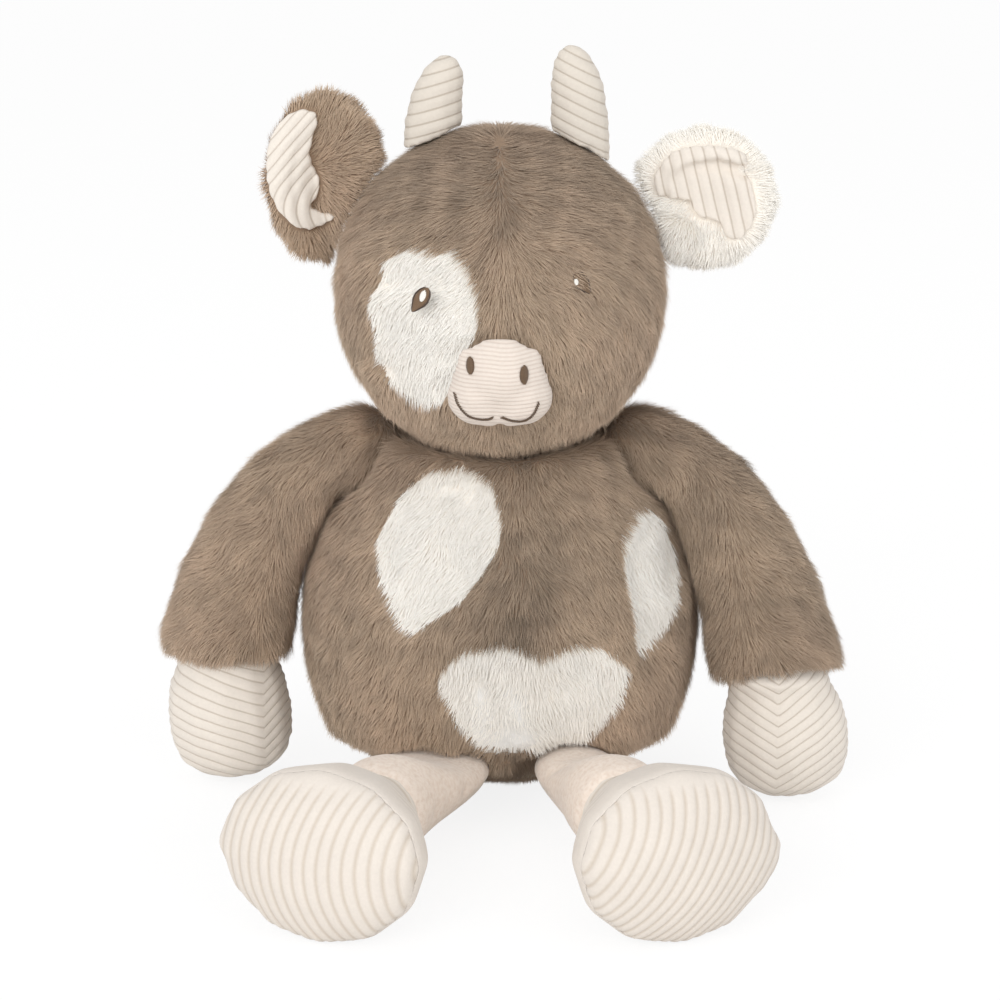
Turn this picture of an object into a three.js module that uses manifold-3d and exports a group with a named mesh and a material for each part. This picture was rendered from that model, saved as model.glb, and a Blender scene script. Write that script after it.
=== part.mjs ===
// A seated plush cow: fur head and body, ribbed-cord horns, hands, feet and ear linings.
// Millimetres. X runs to the toy's own left, -Y is its front, Z is up.
// The origin is the middle of the flat seat on which the toy rests.
import * as THREE from 'three';
import { mergeVertices } from 'three/addons/utils/BufferGeometryUtils.js';
import Module from 'manifold-3d';

const wasm = await Module();
wasm.setup();

// Cloths and fits
const clearance = 0.3;
const overrun = 4;
const furWall = 5;
const cordWall = 1.8;
const legWall = 2.6;
const threadHeight = 1.2;
const restingFlat = 0.5;

// Facets round the large forms, the limbs and the small trims, and along a rounded end
const largeSides = 22;
const limbSides = 12;
const innerSides = 10;
const trimSides = 10;
const largeRings = 11;
const limbRings = 6;
const trimRings = 5;
const ballRings = 3;
const outlineSteps = 16;
// How far in a faceted ball's flats lie, as a share of its radius
const facetFit = Math.cos(Math.PI / limbSides) ** 2;

const body = {
  halfWidth: 79,
  halfDepth: 69,
  height: 160.5,
  pouchHalfWidth: 42,
  pouchHalfDepth: 36,
  pouchHalfHeight: 17,
  pouchHeight: 15,
};
// Height up the body, and half-width there
const bodyProfileShares = [
  [0.0006, 0.304], [0.0069, 0.43], [0.028, 0.557], [0.065, 0.671], [0.159, 0.861],
  [0.283, 0.975], [0.408, 1], [0.533, 0.975], [0.657, 0.892], [0.763, 0.785],
  [0.85, 0.665], [0.925, 0.506], [0.972, 0.316],
];

// The head's centre stands this far above the body's top
const head = { halfWidth: 63.5, halfHeight: 64, forward: 8, rise: 34.5, neckOpening: 22 };

// The muzzle and its two cheek lobes: their middle lies this deep inside the head's front
const muzzle = {
  halfWidth: 18.6,
  halfDepth: 17,
  halfHeight: 14.5,
  sunk: 9.5,
  drop: 19,
  lobeHalfWidth: 11.5,
  lobeHalfDepth: 14.5,
  lobeHalfHeight: 11.5,
  lobeSpread: 8.2,
  lobeDrop: 26.5,
};

// Patches: the way each faces from the middle of its form, its place and its half sizes.
// A place on the body is counted from the seat, and one on the head from the head's centre
const patches = {
  eye_patch: { facing: -29.8, across: 0, height: -5, halfWidth: 22.5, halfHeight: 30 },
  belly_patch_upper: { facing: -25.7, across: 0, height: 105.5, halfWidth: 24, halfHeight: 29.5 },
  belly_patch_lower: { facing: 12, across: 1, height: 49, halfWidth: 37, halfHeight: 24.5 },
  belly_patch_side: { facing: 58.5, across: 3, height: 89, halfWidth: 19, halfHeight: 26.5 },
};
const patchOutlineShares = {
  eye_patch: [
    [-0.81, 0.75], [-0.2, 0.97], [0.24, 0.89], [0.51, 0.99], [0.8, 0.71], [1, 0.38], [0.97, -0.03],
    [0.76, -0.24], [0.52, -0.59], [0.22, -0.92], [-0.26, -1.03], [-0.82, -0.78], [-1, -0.54],
    [-0.91, -0.13], [-1, 0.23], [-0.8, 0.57],
  ],
  belly_patch_upper: [
    [-0.27, 0.93], [0.38, 0.98], [0.74, 0.82], [1, 0.33], [1, 0.06], [0.63, -0.49],
    [0.17, -0.8], [-0.15, -1], [-0.36, -0.94], [-0.78, -0.44], [-1, 0.02], [-0.74, 0.59],
  ],
  belly_patch_lower: [
    [-0.98, 0.51], [-0.76, 0.89], [-0.32, 0.98], [0.02, 0.77], [0.38, 0.92], [0.64, 0.88],
    [0.98, 0.41], [0.9, -0.15], [0.56, -0.69], [0.16, -1.01], [-0.16, -0.69], [-0.58, -0.66],
    [-0.77, -0.37], [-0.98, 0.29],
  ],
  belly_patch_side: [
    [-0.2, 0.98], [0.37, 0.94], [0.79, 0.64], [0.95, 0.26], [0.82, -0.08], [0.57, -0.36],
    [0.1, -0.67], [-0.4, -0.95], [-0.6, -1.02], [-0.81, -0.88], [-0.97, -0.34], [-0.97, 0.23],
    [-0.79, 0.64], [-0.36, 0.87],
  ],
};

// Embroidery: place of each mark from the head's centre, half sizes and lean in degrees
const stitches = {
  right_eye: { across: -28.2, height: 7.5, halfWidth: 3, halfHeight: 6, lean: -27 },
  left_eye: { across: 28.8, height: 13.2, halfWidth: 3, halfHeight: 6, lean: 27 },
  right_eye_glint: { across: -27.2, height: 9.6, halfWidth: 1.1, halfHeight: 1.9, lean: -12 },
  left_eye_glint: { across: 28, height: 15, halfWidth: 1.1, halfHeight: 1.9, lean: 12 },
  right_nostril: { across: -10.4, height: -14.6, halfWidth: 1.7, halfHeight: 3.5, lean: 0 },
  left_nostril: { across: 8.4, height: -17.4, halfWidth: 1.8, halfHeight: 3.7, lean: 0 },
};
const mouth = { halfWidth: 14.5, halfHeight: 10, below: 25, across: -1.4, stitchWidth: 1.2 };
// Teardrop eye, round end up
const eyeOutlineShares = [
  [0, 1], [0.8, 0.62], [1, 0.15], [0.62, -0.45], [0, -1], [-0.62, -0.45], [-1, 0.15],
  [-0.8, 0.62],
];
// Smile along its middle line: across, and down from the corners
const mouthLineShares = [
  [-1, 0], [-0.82, -0.55], [-0.52, -0.85], [-0.2, -0.84], [0, -0.66], [0.24, -0.86],
  [0.56, -0.95], [0.84, -0.7], [1, -0.2],
];

// A horn's root lies inside the head, this far above its centre
const horn = { halfWidth: 12, halfDepth: 10.5, rootRise: 45, leastFilledShare: 0.5 };
// Height up the horn, half size there, and how far it has bent inwards
const hornProfileShares = [
  [0, 1, 0], [0.25, 0.97, 0.02], [0.45, 0.92, 0.06], [0.65, 0.8, 0.3], [0.83, 0.6, 0.72],
  [0.93, 0.4, 0.9], [0.98, 0.2, 1],
];

const ear = { halfThickness: 9, rim: 4, hollow: 7, tuckHalfThickness: 7, swing: 25 };

// Place of the shoulder and the hip, as shares of the body's half-width, half-depth and height
const shoulderShares = { across: 0.6835, up: 0.8287 };
const hipShares = { across: 0.3418, forward: 0.7681, up: 0.1558 };

const shoulder = { ball: 18 };
// Way along the arm path: outwards, then down
const armPathShares = [[0, 0], [0.28, 0.11], [0.55, 0.27], [0.76, 0.49], [0.89, 0.69], [1, 1]];
// Way along the sleeve, and half-width there
const armProfileShares = [[0.12, 0.78], [0.3, 0.84], [0.5, 0.89], [0.72, 0.94], [0.9, 0.98]];
const sleeve = { cuffHalfWidth: 25, flatness: 0.93, cuffDrop: 2 };

// The hand's ball has facets, which leave it room to turn, so its fit in the cuff is close
const hand = { ball: 21, cuffFit: 0.1, halfWidth: 24, flatness: 0.9, mouth: 8 };
// Way down the hand, and half-width there
const handProfileShares = [
  [0.15, 0.81], [0.3, 0.93], [0.5, 1], [0.7, 0.98], [0.85, 0.86], [0.95, 0.55],
];

const hip = { ball: 18, relief: 0.8 };
const leg = { halfWidth: 18.5, ankleDrop: 1.5 };
// Way along the leg, and half-width there
const legProfileShares = [[0.2, 0.98], [0.5, 0.96], [0.8, 1]];

// The ankle, placed from the hip
const ankle = { across: 17, forward: 57, rise: 2, ball: 16.5 };
const foot = { length: 47, halfWidth: 33, halfHeight: 31.5, soleDepth: 14, splay: 20, toeLift: 4 };
// Way from the ankle to the sole's seam, then over the sole's dome, and half-width there
const footProfileShares = [[0.15, 0.475], [0.35, 0.65], [0.6, 0.86], [0.82, 0.97]];
const soleProfileShares = [[0.3, 0.92], [0.62, 0.72], [0.88, 0.4]];

// What differs between the two sides as the toy sits: wrists are placed from the shoulders,
// and horns, ears and tucks from the head's centre
const rightSide = {
  name: 'right',
  sign: -1,
  fur: 'taupe',
  wristOut: 53,
  wristDrop: 75,
  wristForward: 6,
  handLength: 57.5,
  handOut: -3,
  hornAcross: 24.7,
  hornLength: 44.3,
  hornBend: 4.5,
  earAcross: 66,
  earRise: 42.5,
  earHalfWidth: 26,
  earHalfHeight: 32.5,
  earTurn: 33,
  tuckAcross: 57,
  tuckRise: 41,
  tuckHalfWidth: 15,
  tuckHalfHeight: 27,
};
const leftSide = {
  name: 'left',
  sign: 1,
  fur: 'cream',
  wristOut: 52,
  wristDrop: 80,
  wristForward: 25,
  handLength: 52.5,
  handOut: 6,
  hornAcross: 29.5,
  hornLength: 48,
  hornBend: 3.5,
  earAcross: 76.5,
  earRise: 34.5,
  earHalfWidth: 28,
  earHalfHeight: 26.5,
  earTurn: 6,
  tuckAcross: 64,
  tuckRise: 21,
  tuckHalfWidth: 13,
  tuckHalfHeight: 10,
};
const sides = [rightSide, leftSide];

const cloths = {
  taupe: { color: 0x968270, roughness: 0.95 },
  cream: { color: 0xf4efe6, roughness: 0.95 },
  cord: { color: 0xeee4d7, roughness: 0.85 },
  legCloth: { color: 0xf0e2d3, roughness: 0.9 },
  muzzleCloth: { color: 0xeadfd6, roughness: 0.85 },
  brownThread: { color: 0x5d4a3a, roughness: 0.6 },
  whiteThread: { color: 0xf7f4ee, roughness: 0.6 },
  fibre: { color: 0xf6f5f2, roughness: 1 },
  linen: { color: 0xe4dccb, roughness: 0.9 },
};

const up = new THREE.Vector3(0, 0, 1);
const back = new THREE.Vector3(0, 1, 0);
const left = new THREE.Vector3(1, 0, 0);
const toy = new THREE.Group();

function point(x, y, z) {
  return new THREE.Vector3(x, y, z);
}

// Solids and meshes
function solidOf(geometry) {
  const bare = geometry.clone();
  bare.deleteAttribute('normal');
  bare.deleteAttribute('uv');
  const merged = mergeVertices(bare);
  return new wasm.Manifold(new wasm.Mesh({
    numProp: 3,
    vertProperties: new Float32Array(merged.attributes.position.array),
    triVerts: new Uint32Array(merged.index.array),
  }));
}

function addPiece(name, solid, cloth) {
  const mesh = solid.getMesh();
  const geometry = new THREE.BufferGeometry();
  const corners = new Float32Array(mesh.vertProperties);
  geometry.setAttribute('position', new THREE.BufferAttribute(corners, 3));
  geometry.setIndex(new THREE.BufferAttribute(new Uint32Array(mesh.triVerts), 1));
  geometry.computeVertexNormals();
  const { color, roughness } = cloths[cloth];
  const material = new THREE.MeshStandardMaterial({ color, roughness, metalness: 0 });
  const piece = new THREE.Mesh(geometry, material);
  piece.name = name;
  toy.add(piece);
}

// A closed skin through elliptical rings, drawn together to a point at each end
function loft(rings, startTip, endTip, count) {
  const positions = [];
  const faces = [];
  for (const ring of rings) {
    for (let step = 0; step < count; step += 1) {
      const angle = (2 * Math.PI * step) / count;
      const place = ring.at.clone()
        .addScaledVector(ring.across, Math.cos(angle))
        .addScaledVector(ring.over, Math.sin(angle));
      positions.push(place.x, place.y, place.z);
    }
  }
  const startIndex = rings.length * count;
  const endIndex = startIndex + 1;
  const lastRow = startIndex - count;
  positions.push(startTip.x, startTip.y, startTip.z, endTip.x, endTip.y, endTip.z);
  for (let step = 0; step < count; step += 1) {
    const next = (step + 1) % count;
    faces.push(startIndex, next, step);
    for (let row = 0; row < lastRow; row += count) {
      faces.push(row + step, row + next, row + count + step);
      faces.push(row + next, row + count + next, row + count + step);
    }
    faces.push(endIndex, lastRow + step, lastRow + next);
  }
  const geometry = new THREE.BufferGeometry();
  geometry.setAttribute('position', new THREE.Float32BufferAttribute(positions, 3));
  geometry.setIndex(faces);
  return solidOf(geometry);
}

// A ball or egg with three half sizes
function egg(centre, halfWidth, halfDepth, halfHeight, count = largeSides, rows = largeRings) {
  const rings = [];
  for (let row = 1; row < rows; row += 1) {
    const angle = (Math.PI * row) / rows;
    rings.push({
      at: centre.clone().addScaledVector(up, -halfHeight * Math.cos(angle)),
      across: left.clone().multiplyScalar(halfWidth * Math.sin(angle)),
      over: back.clone().multiplyScalar(halfDepth * Math.sin(angle)),
    });
  }
  const bottom = centre.clone().addScaledVector(up, -halfHeight);
  const top = centre.clone().addScaledVector(up, halfHeight);
  return loft(rings, bottom, top, count);
}

// The room round a ball joint: its flat facets stand outside the ball
function ballRoom(centre, radius) {
  const outer = radius / facetFit;
  return egg(centre, outer, outer, outer, limbSides, limbRings);
}

// The seat of a ball joint, in which the ball's facets turn freely
function ballSeat(centre, radius) {
  return ballRoom(centre, radius + clearance);
}

// Rings along a path, each { along, halfWidth, halfDepth }; past its ends the path runs on straight
function ringsAlong(curve, stations, overHint) {
  const length = curve.getLength();
  return stations.map(({ along, halfWidth, halfDepth }) => {
    const share = Math.min(Math.max(along / length, 0), 1);
    const travel = curve.getTangentAt(share);
    const at = curve.getPointAt(share).addScaledVector(travel, along - share * length);
    const over = overHint.clone().addScaledVector(travel, -overHint.dot(travel)).normalize();
    const across = over.clone().cross(travel);
    return { at, across: across.multiplyScalar(halfWidth), over: over.multiplyScalar(halfDepth) };
  });
}

// Stations of the round end that sits in a ball seat
function ballStations(radius) {
  const stations = [];
  for (let ring = 1; ring <= ballRings; ring += 1) {
    const angle = (0.5 * Math.PI * ring) / ballRings;
    const half = radius * Math.sin(angle);
    stations.push({ along: -radius * Math.cos(angle), halfWidth: half, halfDepth: half });
  }
  return stations;
}

// A limb: a ball at its root, a swelling length, and a tip that is flat or drawn out by tipLength
function limb(form, inset, runOn = 0) {
  const { curve, ball, halfWidth, halfDepth, profile, endShare, overHint } = form;
  const length = endShare ? form.length : form.length - inset;
  const stations = ballStations(ball - inset);
  for (const [way, size] of profile) {
    stations.push({
      along: way * length,
      halfWidth: size * halfWidth - inset,
      halfDepth: size * halfDepth - inset,
    });
  }
  if (endShare) {
    stations.push({
      along: length + runOn,
      halfWidth: endShare * halfWidth - inset,
      halfDepth: endShare * halfDepth - inset,
    });
  }
  const rings = ringsAlong(curve, stations, overHint);
  const [start, end] = ringsAlong(curve, [
    { along: inset - ball, halfWidth: 0, halfDepth: 0 },
    { along: length + runOn, halfWidth: 0, halfDepth: 0 },
  ], overHint);
  return loft(rings, start.at, end.at, inset > 0 ? innerSides : limbSides);
}

function unite(solids) {
  return solids.reduce((whole, solid) => whole.add(solid));
}

// Turn a solid about a line through a pivot, by degrees
function turned(solid, pivot, axis, degrees) {
  const radians = THREE.MathUtils.degToRad(degrees);
  const matrix = new THREE.Matrix4().makeTranslation(pivot.x, pivot.y, pivot.z)
    .multiply(new THREE.Matrix4().makeRotationAxis(axis.clone().normalize(), radians))
    .multiply(new THREE.Matrix4().makeTranslation(-pivot.x, -pivot.y, -pivot.z));
  return solid.transform(matrix.elements);
}

// What a moving piece has to stay clear of, as the piece sees it through its whole travel
function sweptStop(stop, pivot, axis, degreeList) {
  return unite(degreeList.map((degrees) => turned(stop, pivot, axis, -degrees)));
}

// The half space below the surface on which the toy rests
function belowFloor() {
  const reach = 3 * body.height;
  const slab = new THREE.BoxGeometry(reach, reach, body.height);
  slab.translate(0, 0, -0.5 * body.height);
  return solidOf(slab);
}

// A prism through a closed outline, standing out from a form's middle line in one direction
function prism(outline, middle, facing, near, far) {
  const shape = new THREE.Shape(outline);
  const geometry = new THREE.ExtrudeGeometry(shape, { depth: far - near, bevelEnabled: false });
  geometry.translate(0, 0, near);
  const angle = THREE.MathUtils.degToRad(facing);
  const tangent = point(Math.cos(angle), Math.sin(angle), 0);
  const outward = point(Math.sin(angle), -Math.cos(angle), 0);
  geometry.applyMatrix4(new THREE.Matrix4().makeBasis(tangent, up, outward).setPosition(middle));
  return solidOf(geometry);
}

// A smooth closed outline through shares of a half-width and half-height, moved in or out by spread
function outlineFrom(shares, { across, height, halfWidth, halfHeight }, spread, lean = 0) {
  const wide = halfWidth + spread;
  const high = halfHeight + spread;
  const corners = shares.map(([x, y]) => point(x * wide, y * high, 0));
  const curve = new THREE.CatmullRomCurve3(corners, true, 'centripetal');
  const turn = new THREE.Matrix4().makeRotationZ(THREE.MathUtils.degToRad(lean));
  return curve.getSpacedPoints(outlineSteps).slice(0, -1)
    .map((corner) => corner.applyMatrix4(turn))
    .map((corner) => new THREE.Vector2(across + corner.x, height + corner.y));
}

// Body
const seatCentre = point(0, 0, 0);
const headCentre = point(0, -head.forward, body.height + head.rise);

// A place counted from the head's centre: across, forward and up
function fromHead(across, forward, rise) {
  return headCentre.clone().add(point(across, -forward, rise));
}

function bodyForm(inset) {
  const inner = body.height - 2 * inset;
  const rings = bodyProfileShares.map(([rise, size]) => ({
    at: point(0, 0, rise * inner + inset - restingFlat),
    across: left.clone().multiplyScalar(size * (body.halfWidth - inset)),
    over: back.clone().multiplyScalar(size * (body.halfDepth - inset)),
  }));
  const bottom = point(0, 0, inset - restingFlat);
  const top = point(0, 0, inset + inner - restingFlat);
  return loft(rings, bottom, top, inset > 0 ? limbSides : largeSides);
}

function headForm(inset) {
  const halfWidth = head.halfWidth - inset;
  const count = inset > 0 ? limbSides : largeSides;
  return egg(headCentre, halfWidth, halfWidth, head.halfHeight - inset, count, count / 2);
}

// The head's dished seat in the body's top, wide enough for the head's facets to turn in it
function headSeat(gap) {
  const slack = Math.cos(Math.PI / largeSides);
  const halfWidth = (head.halfWidth + gap) / slack;
  return egg(headCentre, halfWidth, halfWidth, (head.halfHeight + gap) / slack);
}

function patchPrism(name, spread) {
  const patch = patches[name];
  const outline = outlineFrom(patchOutlineShares[name], patch, spread);
  const middle = name === 'eye_patch' ? headCentre : seatCentre;
  return prism(outline, middle, patch.facing, 0.2 * body.halfDepth, 2 * body.halfDepth);
}

function shoulderAt(side) {
  const across = shoulderShares.across * body.halfWidth;
  return point(side.sign * across, 0, shoulderShares.up * body.height);
}

function hipAt(side) {
  const across = hipShares.across * body.halfWidth;
  const forward = hipShares.forward * body.halfDepth;
  return point(side.sign * across, -forward, hipShares.up * body.height);
}

function jointSeats(gap) {
  const seats = sides.flatMap((side) => [
    ballSeat(shoulderAt(side), shoulder.ball / facetFit + gap),
    ballSeat(hipAt(side), hip.ball / facetFit + hip.relief + gap),
  ]);
  return unite(seats);
}

function pouchForm(spread) {
  const centre = point(0, 0, body.pouchHeight);
  return egg(
    centre,
    body.pouchHalfWidth + spread,
    body.pouchHalfDepth + spread,
    body.pouchHalfHeight + spread,
    innerSides,
    limbRings,
  );
}

function makeBody(floor) {
  const cover = bodyForm(0).subtract(headSeat(clearance)).subtract(jointSeats(0)).subtract(floor);
  const bellyNames = Object.keys(patches).filter((name) => name.startsWith('belly'));
  const skin = cover.subtract(bodyForm(furWall));
  let shell = skin;
  for (const name of bellyNames) {
    shell = shell.subtract(patchPrism(name, clearance));
    addPiece(name, skin.intersect(patchPrism(name, 0)), 'cream');
  }
  addPiece('body_shell', shell, 'taupe');
  const filling = bodyForm(furWall + clearance)
    .subtract(headSeat(2 * clearance))
    .subtract(jointSeats(clearance));
  addPiece('body_stuffing', filling.subtract(pouchForm(clearance)), 'fibre');
  addPiece('seat_pellet_pouch', pouchForm(0).intersect(filling), 'linen');
}

// Head
function muzzleForm(inset) {
  const pad = egg(
    fromHead(0, head.halfWidth - muzzle.sunk, -muzzle.drop),
    muzzle.halfWidth - inset,
    muzzle.halfDepth - inset,
    muzzle.halfHeight - inset,
    innerSides,
    limbRings,
  );
  const lobes = sides.map(({ sign }) => egg(
    fromHead(sign * muzzle.lobeSpread, head.halfWidth - muzzle.sunk, -muzzle.lobeDrop),
    muzzle.lobeHalfWidth - inset,
    muzzle.lobeHalfDepth - inset,
    muzzle.lobeHalfHeight - inset,
    innerSides,
    limbRings,
  ));
  return unite([pad, ...lobes]);
}

function makeHead() {
  const neck = egg(
    headCentre.clone().addScaledVector(up, -head.halfHeight),
    head.neckOpening,
    head.neckOpening,
    head.neckOpening,
    innerSides,
    limbRings,
  );
  const skin = headForm(0).subtract(headForm(furWall));
  addPiece('head_shell', skin.subtract(neck).subtract(patchPrism('eye_patch', clearance)), 'taupe');
  addPiece('eye_patch', skin.intersect(patchPrism('eye_patch', 0)), 'cream');
  addPiece('head_stuffing', headForm(furWall + clearance), 'fibre');
}

function makeMuzzle() {
  const skin = muzzleForm(0).subtract(muzzleForm(cordWall));
  addPiece('muzzle_shell', skin.subtract(headForm(-clearance)), 'muzzleCloth');
  const padding = muzzleForm(cordWall + clearance).subtract(headForm(-2 * clearance));
  addPiece('muzzle_stuffing', padding, 'fibre');
}

// Embroidery lies on its cloth as a thin raised pad of thread
function threadLayer(formOf) {
  return formOf(-clearance - threadHeight).subtract(formOf(-clearance));
}

function stitchPrism(name, shares, spread) {
  const mark = stitches[name];
  const outline = outlineFrom(shares, mark, spread, mark.lean);
  return prism(outline, headCentre, 0, 0.5 * head.halfWidth, 2 * head.halfWidth);
}

function mouthPrism() {
  const line = new THREE.CatmullRomCurve3(mouthLineShares.map(([x, y]) => point(
    mouth.across + x * mouth.halfWidth,
    y * mouth.halfHeight - mouth.below,
    0,
  )), false, 'centripetal');
  const samples = mouthLineShares.length + 1;
  const upper = [];
  const lower = [];
  for (let step = 0; step <= samples; step += 1) {
    const travel = line.getTangentAt(step / samples);
    const at = line.getPointAt(step / samples);
    const half = 0.5 * mouth.stitchWidth;
    upper.push(new THREE.Vector2(at.x - half * travel.y, at.y + half * travel.x));
    lower.unshift(new THREE.Vector2(at.x + half * travel.y, at.y - half * travel.x));
  }
  return prism([...lower, ...upper], headCentre, 0, 0.5 * head.halfWidth, 2 * head.halfWidth);
}

function makeFace() {
  const roundShares = [];
  for (let step = 0; step < trimSides; step += 1) {
    const angle = (2 * Math.PI * step) / trimSides;
    roundShares.push([Math.cos(angle), Math.sin(angle)]);
  }
  const onHead = threadLayer(headForm);
  const onMuzzle = threadLayer(muzzleForm).subtract(headForm(-clearance));
  for (const { name } of sides) {
    const glint = stitchPrism(`${name}_eye_glint`, roundShares, 0);
    const glintHole = stitchPrism(`${name}_eye_glint`, roundShares, clearance);
    const eye = stitchPrism(`${name}_eye`, eyeOutlineShares, 0).intersect(onHead);
    const nostril = stitchPrism(`${name}_nostril`, roundShares, 0).intersect(onMuzzle);
    addPiece(`${name}_eye`, eye.subtract(glintHole), 'brownThread');
    addPiece(`${name}_eye_glint`, glint.intersect(onHead), 'whiteThread');
    addPiece(`${name}_nostril`, nostril, 'brownThread');
  }
  addPiece('mouth_stitching', mouthPrism().intersect(onMuzzle), 'brownThread');
}

// Half of the horn's inside never falls below a share of the outside
function hornHalf(outerHalf, inset) {
  return Math.max(outerHalf - inset, horn.leastFilledShare * outerHalf);
}

// Horns lean and bend inwards as they rise
function hornForm(side, inset, runOn) {
  const rings = hornProfileShares.map(([rise, size, bend]) => ({
    at: fromHead(
      side.sign * (side.hornAcross - bend * side.hornBend),
      0,
      horn.rootRise + rise * (side.hornLength - inset),
    ),
    across: left.clone().multiplyScalar(hornHalf(size * horn.halfWidth, inset)),
    over: back.clone().multiplyScalar(hornHalf(size * horn.halfDepth, inset)),
  }));
  rings[0].at.z -= runOn;
  const tipAcross = side.sign * (side.hornAcross - side.hornBend);
  const tip = fromHead(tipAcross, 0, horn.rootRise + side.hornLength - inset);
  return loft(rings, rings[0].at, tip, trimSides);
}

function makeHorns() {
  for (const side of sides) {
    const skin = hornForm(side, 0, 0).subtract(hornForm(side, cordWall, overrun));
    addPiece(`${side.name}_horn_shell`, skin.subtract(headForm(-clearance)), 'cord');
    const filling = hornForm(side, cordWall + clearance, 0).subtract(headForm(-2 * clearance));
    addPiece(`${side.name}_horn_stuffing`, filling, 'fibre');
  }
}

// Ears: a fur bowl with a ribbed lining, tucked at the root, that flaps about its root line
function earCentre(side, forward) {
  return fromHead(side.sign * side.earAcross, forward - head.forward, side.earRise);
}

function earBowl(side, thickness, shrink) {
  const centre = earCentre(side, 0);
  const halfWidth = side.earHalfWidth - shrink;
  const halfHeight = side.earHalfHeight - shrink;
  const flat = egg(centre, halfWidth, thickness, halfHeight, limbSides, limbSides / 2);
  return turned(flat, centre, up, -side.sign * side.earTurn);
}

function earHollow(side, grow) {
  const centre = earCentre(side, ear.halfThickness);
  const flat = egg(
    centre,
    side.earHalfWidth - ear.rim + grow,
    ear.hollow + grow,
    side.earHalfHeight - ear.rim + grow,
    innerSides,
    limbRings,
  );
  return turned(flat, earCentre(side, 0), up, -side.sign * side.earTurn);
}

function earTuck(side, grow) {
  return egg(
    fromHead(side.sign * side.tuckAcross, 0.5 * ear.tuckHalfThickness - head.forward, side.tuckRise),
    side.tuckHalfWidth + grow,
    ear.tuckHalfThickness + grow,
    side.tuckHalfHeight + grow,
    trimSides,
    trimRings,
  );
}

// Everything on the head's side of the middle of the tuck, where the ear has no lining
function earRoot(side) {
  const reach = side.tuckAcross;
  const slab = new THREE.BoxGeometry(reach, reach, reach);
  const { x, y, z } = fromHead(0.5 * side.sign * reach, -head.forward, side.earRise);
  slab.translate(x, y, z);
  return solidOf(slab);
}

// The ear's hinge line touches the head's surface at the ear's own height
function earHinge(side) {
  const rise = side.earRise / head.halfHeight;
  const across = head.halfWidth * Math.sqrt(1 - rise * rise);
  const slope = (rise * head.halfWidth) / Math.sqrt(1 - rise * rise) / head.halfHeight;
  return {
    pivot: fromHead(side.sign * across, 0, side.earRise),
    axis: point(-side.sign * slope, 0, 1).normalize(),
  };
}

function makeEars() {
  for (const side of sides) {
    const { pivot, axis } = earHinge(side);
    const stop = sweptStop(headForm(-clearance), pivot, axis, [-ear.swing, 0, ear.swing]);
    const bowl = earBowl(side, ear.halfThickness, 0).subtract(earHollow(side, 0));
    const fur = bowl.add(earTuck(side, 0)).subtract(stop);
    addPiece(`${side.name}_ear_back`, fur, side.fur);
    const lining = earHollow(side, -clearance).subtract(earHollow(side, -clearance - cordWall));
    const inBowl = lining.intersect(earBowl(side, ear.halfThickness - cordWall, 0));
    const clearOfFur = inBowl.subtract(earTuck(side, clearance)).subtract(earRoot(side));
    addPiece(`${side.name}_ear_lining`, clearOfFur, 'cord');
  }
}

// The body as a limb meets it, a gap away, less the room that the limb's ball turns in
function bodyStand(gap, pivot, ball) {
  return bodyForm(-gap).subtract(ballRoom(pivot, ball + clearance - gap));
}

// Arms
function armCurve(side) {
  const start = shoulderAt(side);
  const steps = armPathShares.map(([out, down]) => point(
    start.x + side.sign * out * side.wristOut,
    -down * side.wristForward,
    start.z - down * side.wristDrop,
  ));
  return new THREE.CatmullRomCurve3(steps, false, 'centripetal');
}

function sleeveLimb(side) {
  const curve = armCurve(side);
  return {
    curve,
    ball: shoulder.ball,
    length: curve.getLength() + sleeve.cuffDrop,
    halfWidth: sleeve.cuffHalfWidth,
    halfDepth: sleeve.cuffHalfWidth * sleeve.flatness,
    profile: armProfileShares,
    endShare: 1,
    overHint: back,
  };
}

function wristAt(side) {
  return armCurve(side).getPointAt(1);
}

function makeArms() {
  for (const side of sides) {
    const form = sleeveLimb(side);
    const wrist = wristAt(side);
    const shoulderStand = (gap) => bodyStand(gap, shoulderAt(side), shoulder.ball);
    const outer = limb(form, 0).subtract(shoulderStand(clearance));
    const cavity = limb(form, furWall, overrun).subtract(shoulderStand(furWall + clearance));
    const cuffSeat = ballRoom(wrist, hand.ball + hand.cuffFit);
    addPiece(`${side.name}_arm_sleeve`, outer.subtract(cavity).subtract(cuffSeat), 'taupe');
    const filling = limb(form, furWall + clearance, -sleeve.cuffDrop)
      .subtract(shoulderStand(furWall + 2 * clearance))
      .subtract(ballSeat(wrist, hand.ball + clearance));
    addPiece(`${side.name}_arm_stuffing`, filling, 'fibre');
  }
}

function handLimb(side) {
  const wrist = wristAt(side);
  const tip = point(wrist.x + side.sign * side.handOut, wrist.y, wrist.z - side.handLength);
  const curve = new THREE.LineCurve3(wrist, tip);
  return {
    curve,
    ball: hand.ball,
    length: curve.getLength(),
    halfWidth: hand.halfWidth,
    halfDepth: hand.halfWidth * hand.flatness,
    profile: handProfileShares,
    overHint: back,
  };
}

function makeHands(floor) {
  for (const side of sides) {
    const form = handLimb(side);
    const top = wristAt(side).addScaledVector(up, hand.ball);
    const mouthHole = egg(top, hand.mouth, hand.mouth, hand.mouth, trimSides, trimRings);
    const outer = limb(form, 0).subtract(floor);
    const shell = outer.subtract(limb(form, cordWall)).subtract(mouthHole);
    addPiece(`${side.name}_hand_shell`, shell, 'cord');
    addPiece(`${side.name}_hand_stuffing`, limb(form, cordWall + clearance), 'fibre');
  }
}

// Legs and feet
function ankleAt(side) {
  return hipAt(side).add(point(side.sign * ankle.across, -ankle.forward, ankle.rise));
}

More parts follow.
